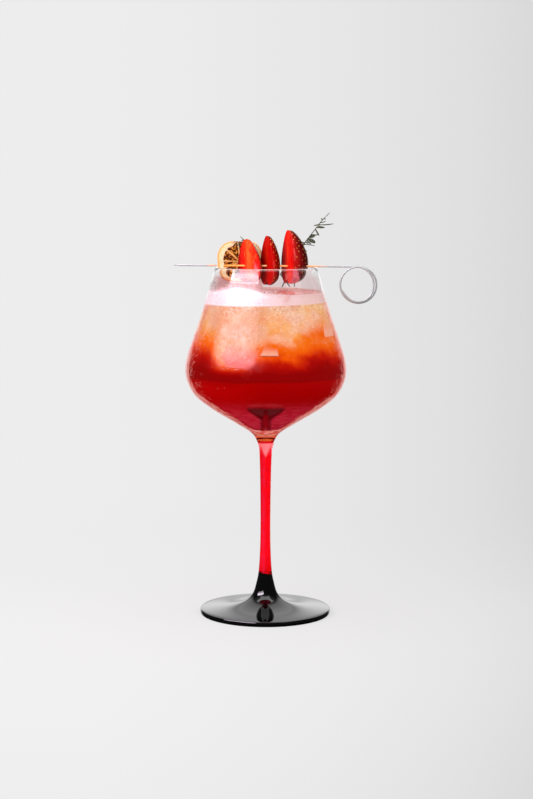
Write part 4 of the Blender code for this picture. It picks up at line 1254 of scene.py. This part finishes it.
def flesh_finish():
    """Cut strawberry: fibres fan out from the hull, from an orange or red middle to a dark edge, with a painted pink
    highlight on the left half.
    """
    material, shader, place = start_finish("strawberry flesh", Specular_IOR_Level=0.06, Coat_Weight=0.03,
                                           Coat_Roughness=0.1, Roughness=0.5)
    cut = mapped(place, "flesh")
    side, up, _ = split(cut)
    x = split(place)[0]
    left_half = below(x, -0.007, -0.002)
    across, low = side - 0.5, up + 0.25
    off = largest(across * -2.0, across * 1.15)
    fan = node("CombineXYZ", {0: maths("ARCTAN2", across, low), 1: (off * off + low * low) * 0.15})
    fibres = cloudy(fan, 24.0, 2.0, 0.6, 0.3)
    depth = off + (cloudy(stretched(cut, (5, 6, 1)), 1.0) - 0.5) * 0.3
    red = ramp(depth, [(0.0, tint(232, 48, 8)), (0.10, tint(224, 20, 2)), (0.3, tint(214, 5, 1)),
                       (0.6, tint(194, 2, 1)), (0.84, tint(146, 1, 1)), (1.0, tint(60, 0, 1))])
    orange = ramp(depth, [(0.0, tint(248, 96, 34)), (0.22, tint(244, 56, 12)), (0.45, tint(230, 20, 4)),
                          (0.7, tint(176, 3, 2)), (1.0, tint(96, 0, 1))])
    colour = blend(left_half * 0.85, red, orange)
    pale_fibre = graded(fibres, 0.55, 0.70, 0.0, 0.55) * graded(off, 0.15, 0.75, 1.0, 0.15)
    colour = blend(pale_fibre, colour, blend(left_half, tint(240, 44, 22), tint(252, 130, 66)))
    colour = blend(graded(fibres, 0.34, 0.50, 0.7, 0.0), colour, tint(172, 4, 3))
    middle_half = graded(x, -0.006, -0.003) * graded(x, 0.006, 0.008, 0.6, 0.0)
    colour = blend(middle_half, colour, tint(150, 2, 2))
    # Painted highlight: pink-white strokes on the left half's cut face, right of its middle
    highlight_stroke = within(across, 0.22, 0.27, 0.36, 0.44) * within(up, 0.22, 0.28, 0.42, 0.52)
    highlight_stroke = highlight_stroke * graded(fibres, 0.40, 0.56, 0.1, 0.55) * below(x, -0.004, -0.001)
    colour = blend(highlight_stroke, colour, tint(244, 112, 132))
    feed(shader, Base_Color=colour, Normal=bumped(fibres, 0.35, 0.0004))
    return material


def seed_finish():
    material, shader, place = start_finish("strawberry seed", Roughness=0.35)
    feed(shader, Base_Color=blend(cloudy(place, 900.0, 2.0), tint(200, 96, 16), tint(240, 176, 60)))
    return material


# Build

set_camera()
set_world()
set_floor()
for panel in LIGHTS:
    set_light(*panel)
set_light(*FILL_LIGHT).visible_glossy = False

uneven_pigment = make_uneven_group()
tea_colours = make_tea_group()
make_glass_bowl(clear_glass_finish())
make_glass_stem(red_glass_finish())
make_glass_foot(black_glass_finish())
red = make_layer(INSIDE_BOTTOM - 0.12, flat, RED_LEVEL + LAYER_OVERLAP, red_surface, 12)
dress(red, "tea_red", [tea_finish("hibiscus tea", tea_colours)], ["drink_red"])
orange = make_layer(RED_LEVEL, red_surface, DRINK_LEVEL + LAYER_OVERLAP, drink_surface, 12)
dress(orange, "tea_orange", [tea_finish("berry juice", tea_colours)], ["drink_orange"])
foam = make_layer(DRINK_LEVEL, drink_surface, FOAM_LEVEL, foam_surface, 40)
froth_white = foam_finish()
dress(foam, "foam_cap", [froth_white], ["foam"])
make_froth(froth_white)
make_fruit_bits(bits_finish())
water = drop_finish()
make_droplets(water)
make_stem_droplets(water)
clear_ice = ice_finish(uneven_pigment, tea_colours)
for number, ice_place in enumerate(ICE):
    make_ice("ice_%d" % number, *ice_place, clear_ice)
make_skewer(steel_finish())
make_citrus_wheel(citrus_finish(uneven_pigment))
leaf_green = thyme_finish(uneven_pigment)
for thyme in ("thyme_right", "thyme_left", "thyme_middle"):
    make_thyme(thyme, leaf_green)
berry_finishes = [skin_finish(uneven_pigment), flesh_finish(), seed_finish()]
for berry_name, berry_sizes in STRAWBERRIES.items():
    make_strawberry(berry_name, berry_sizes, berry_finishes)
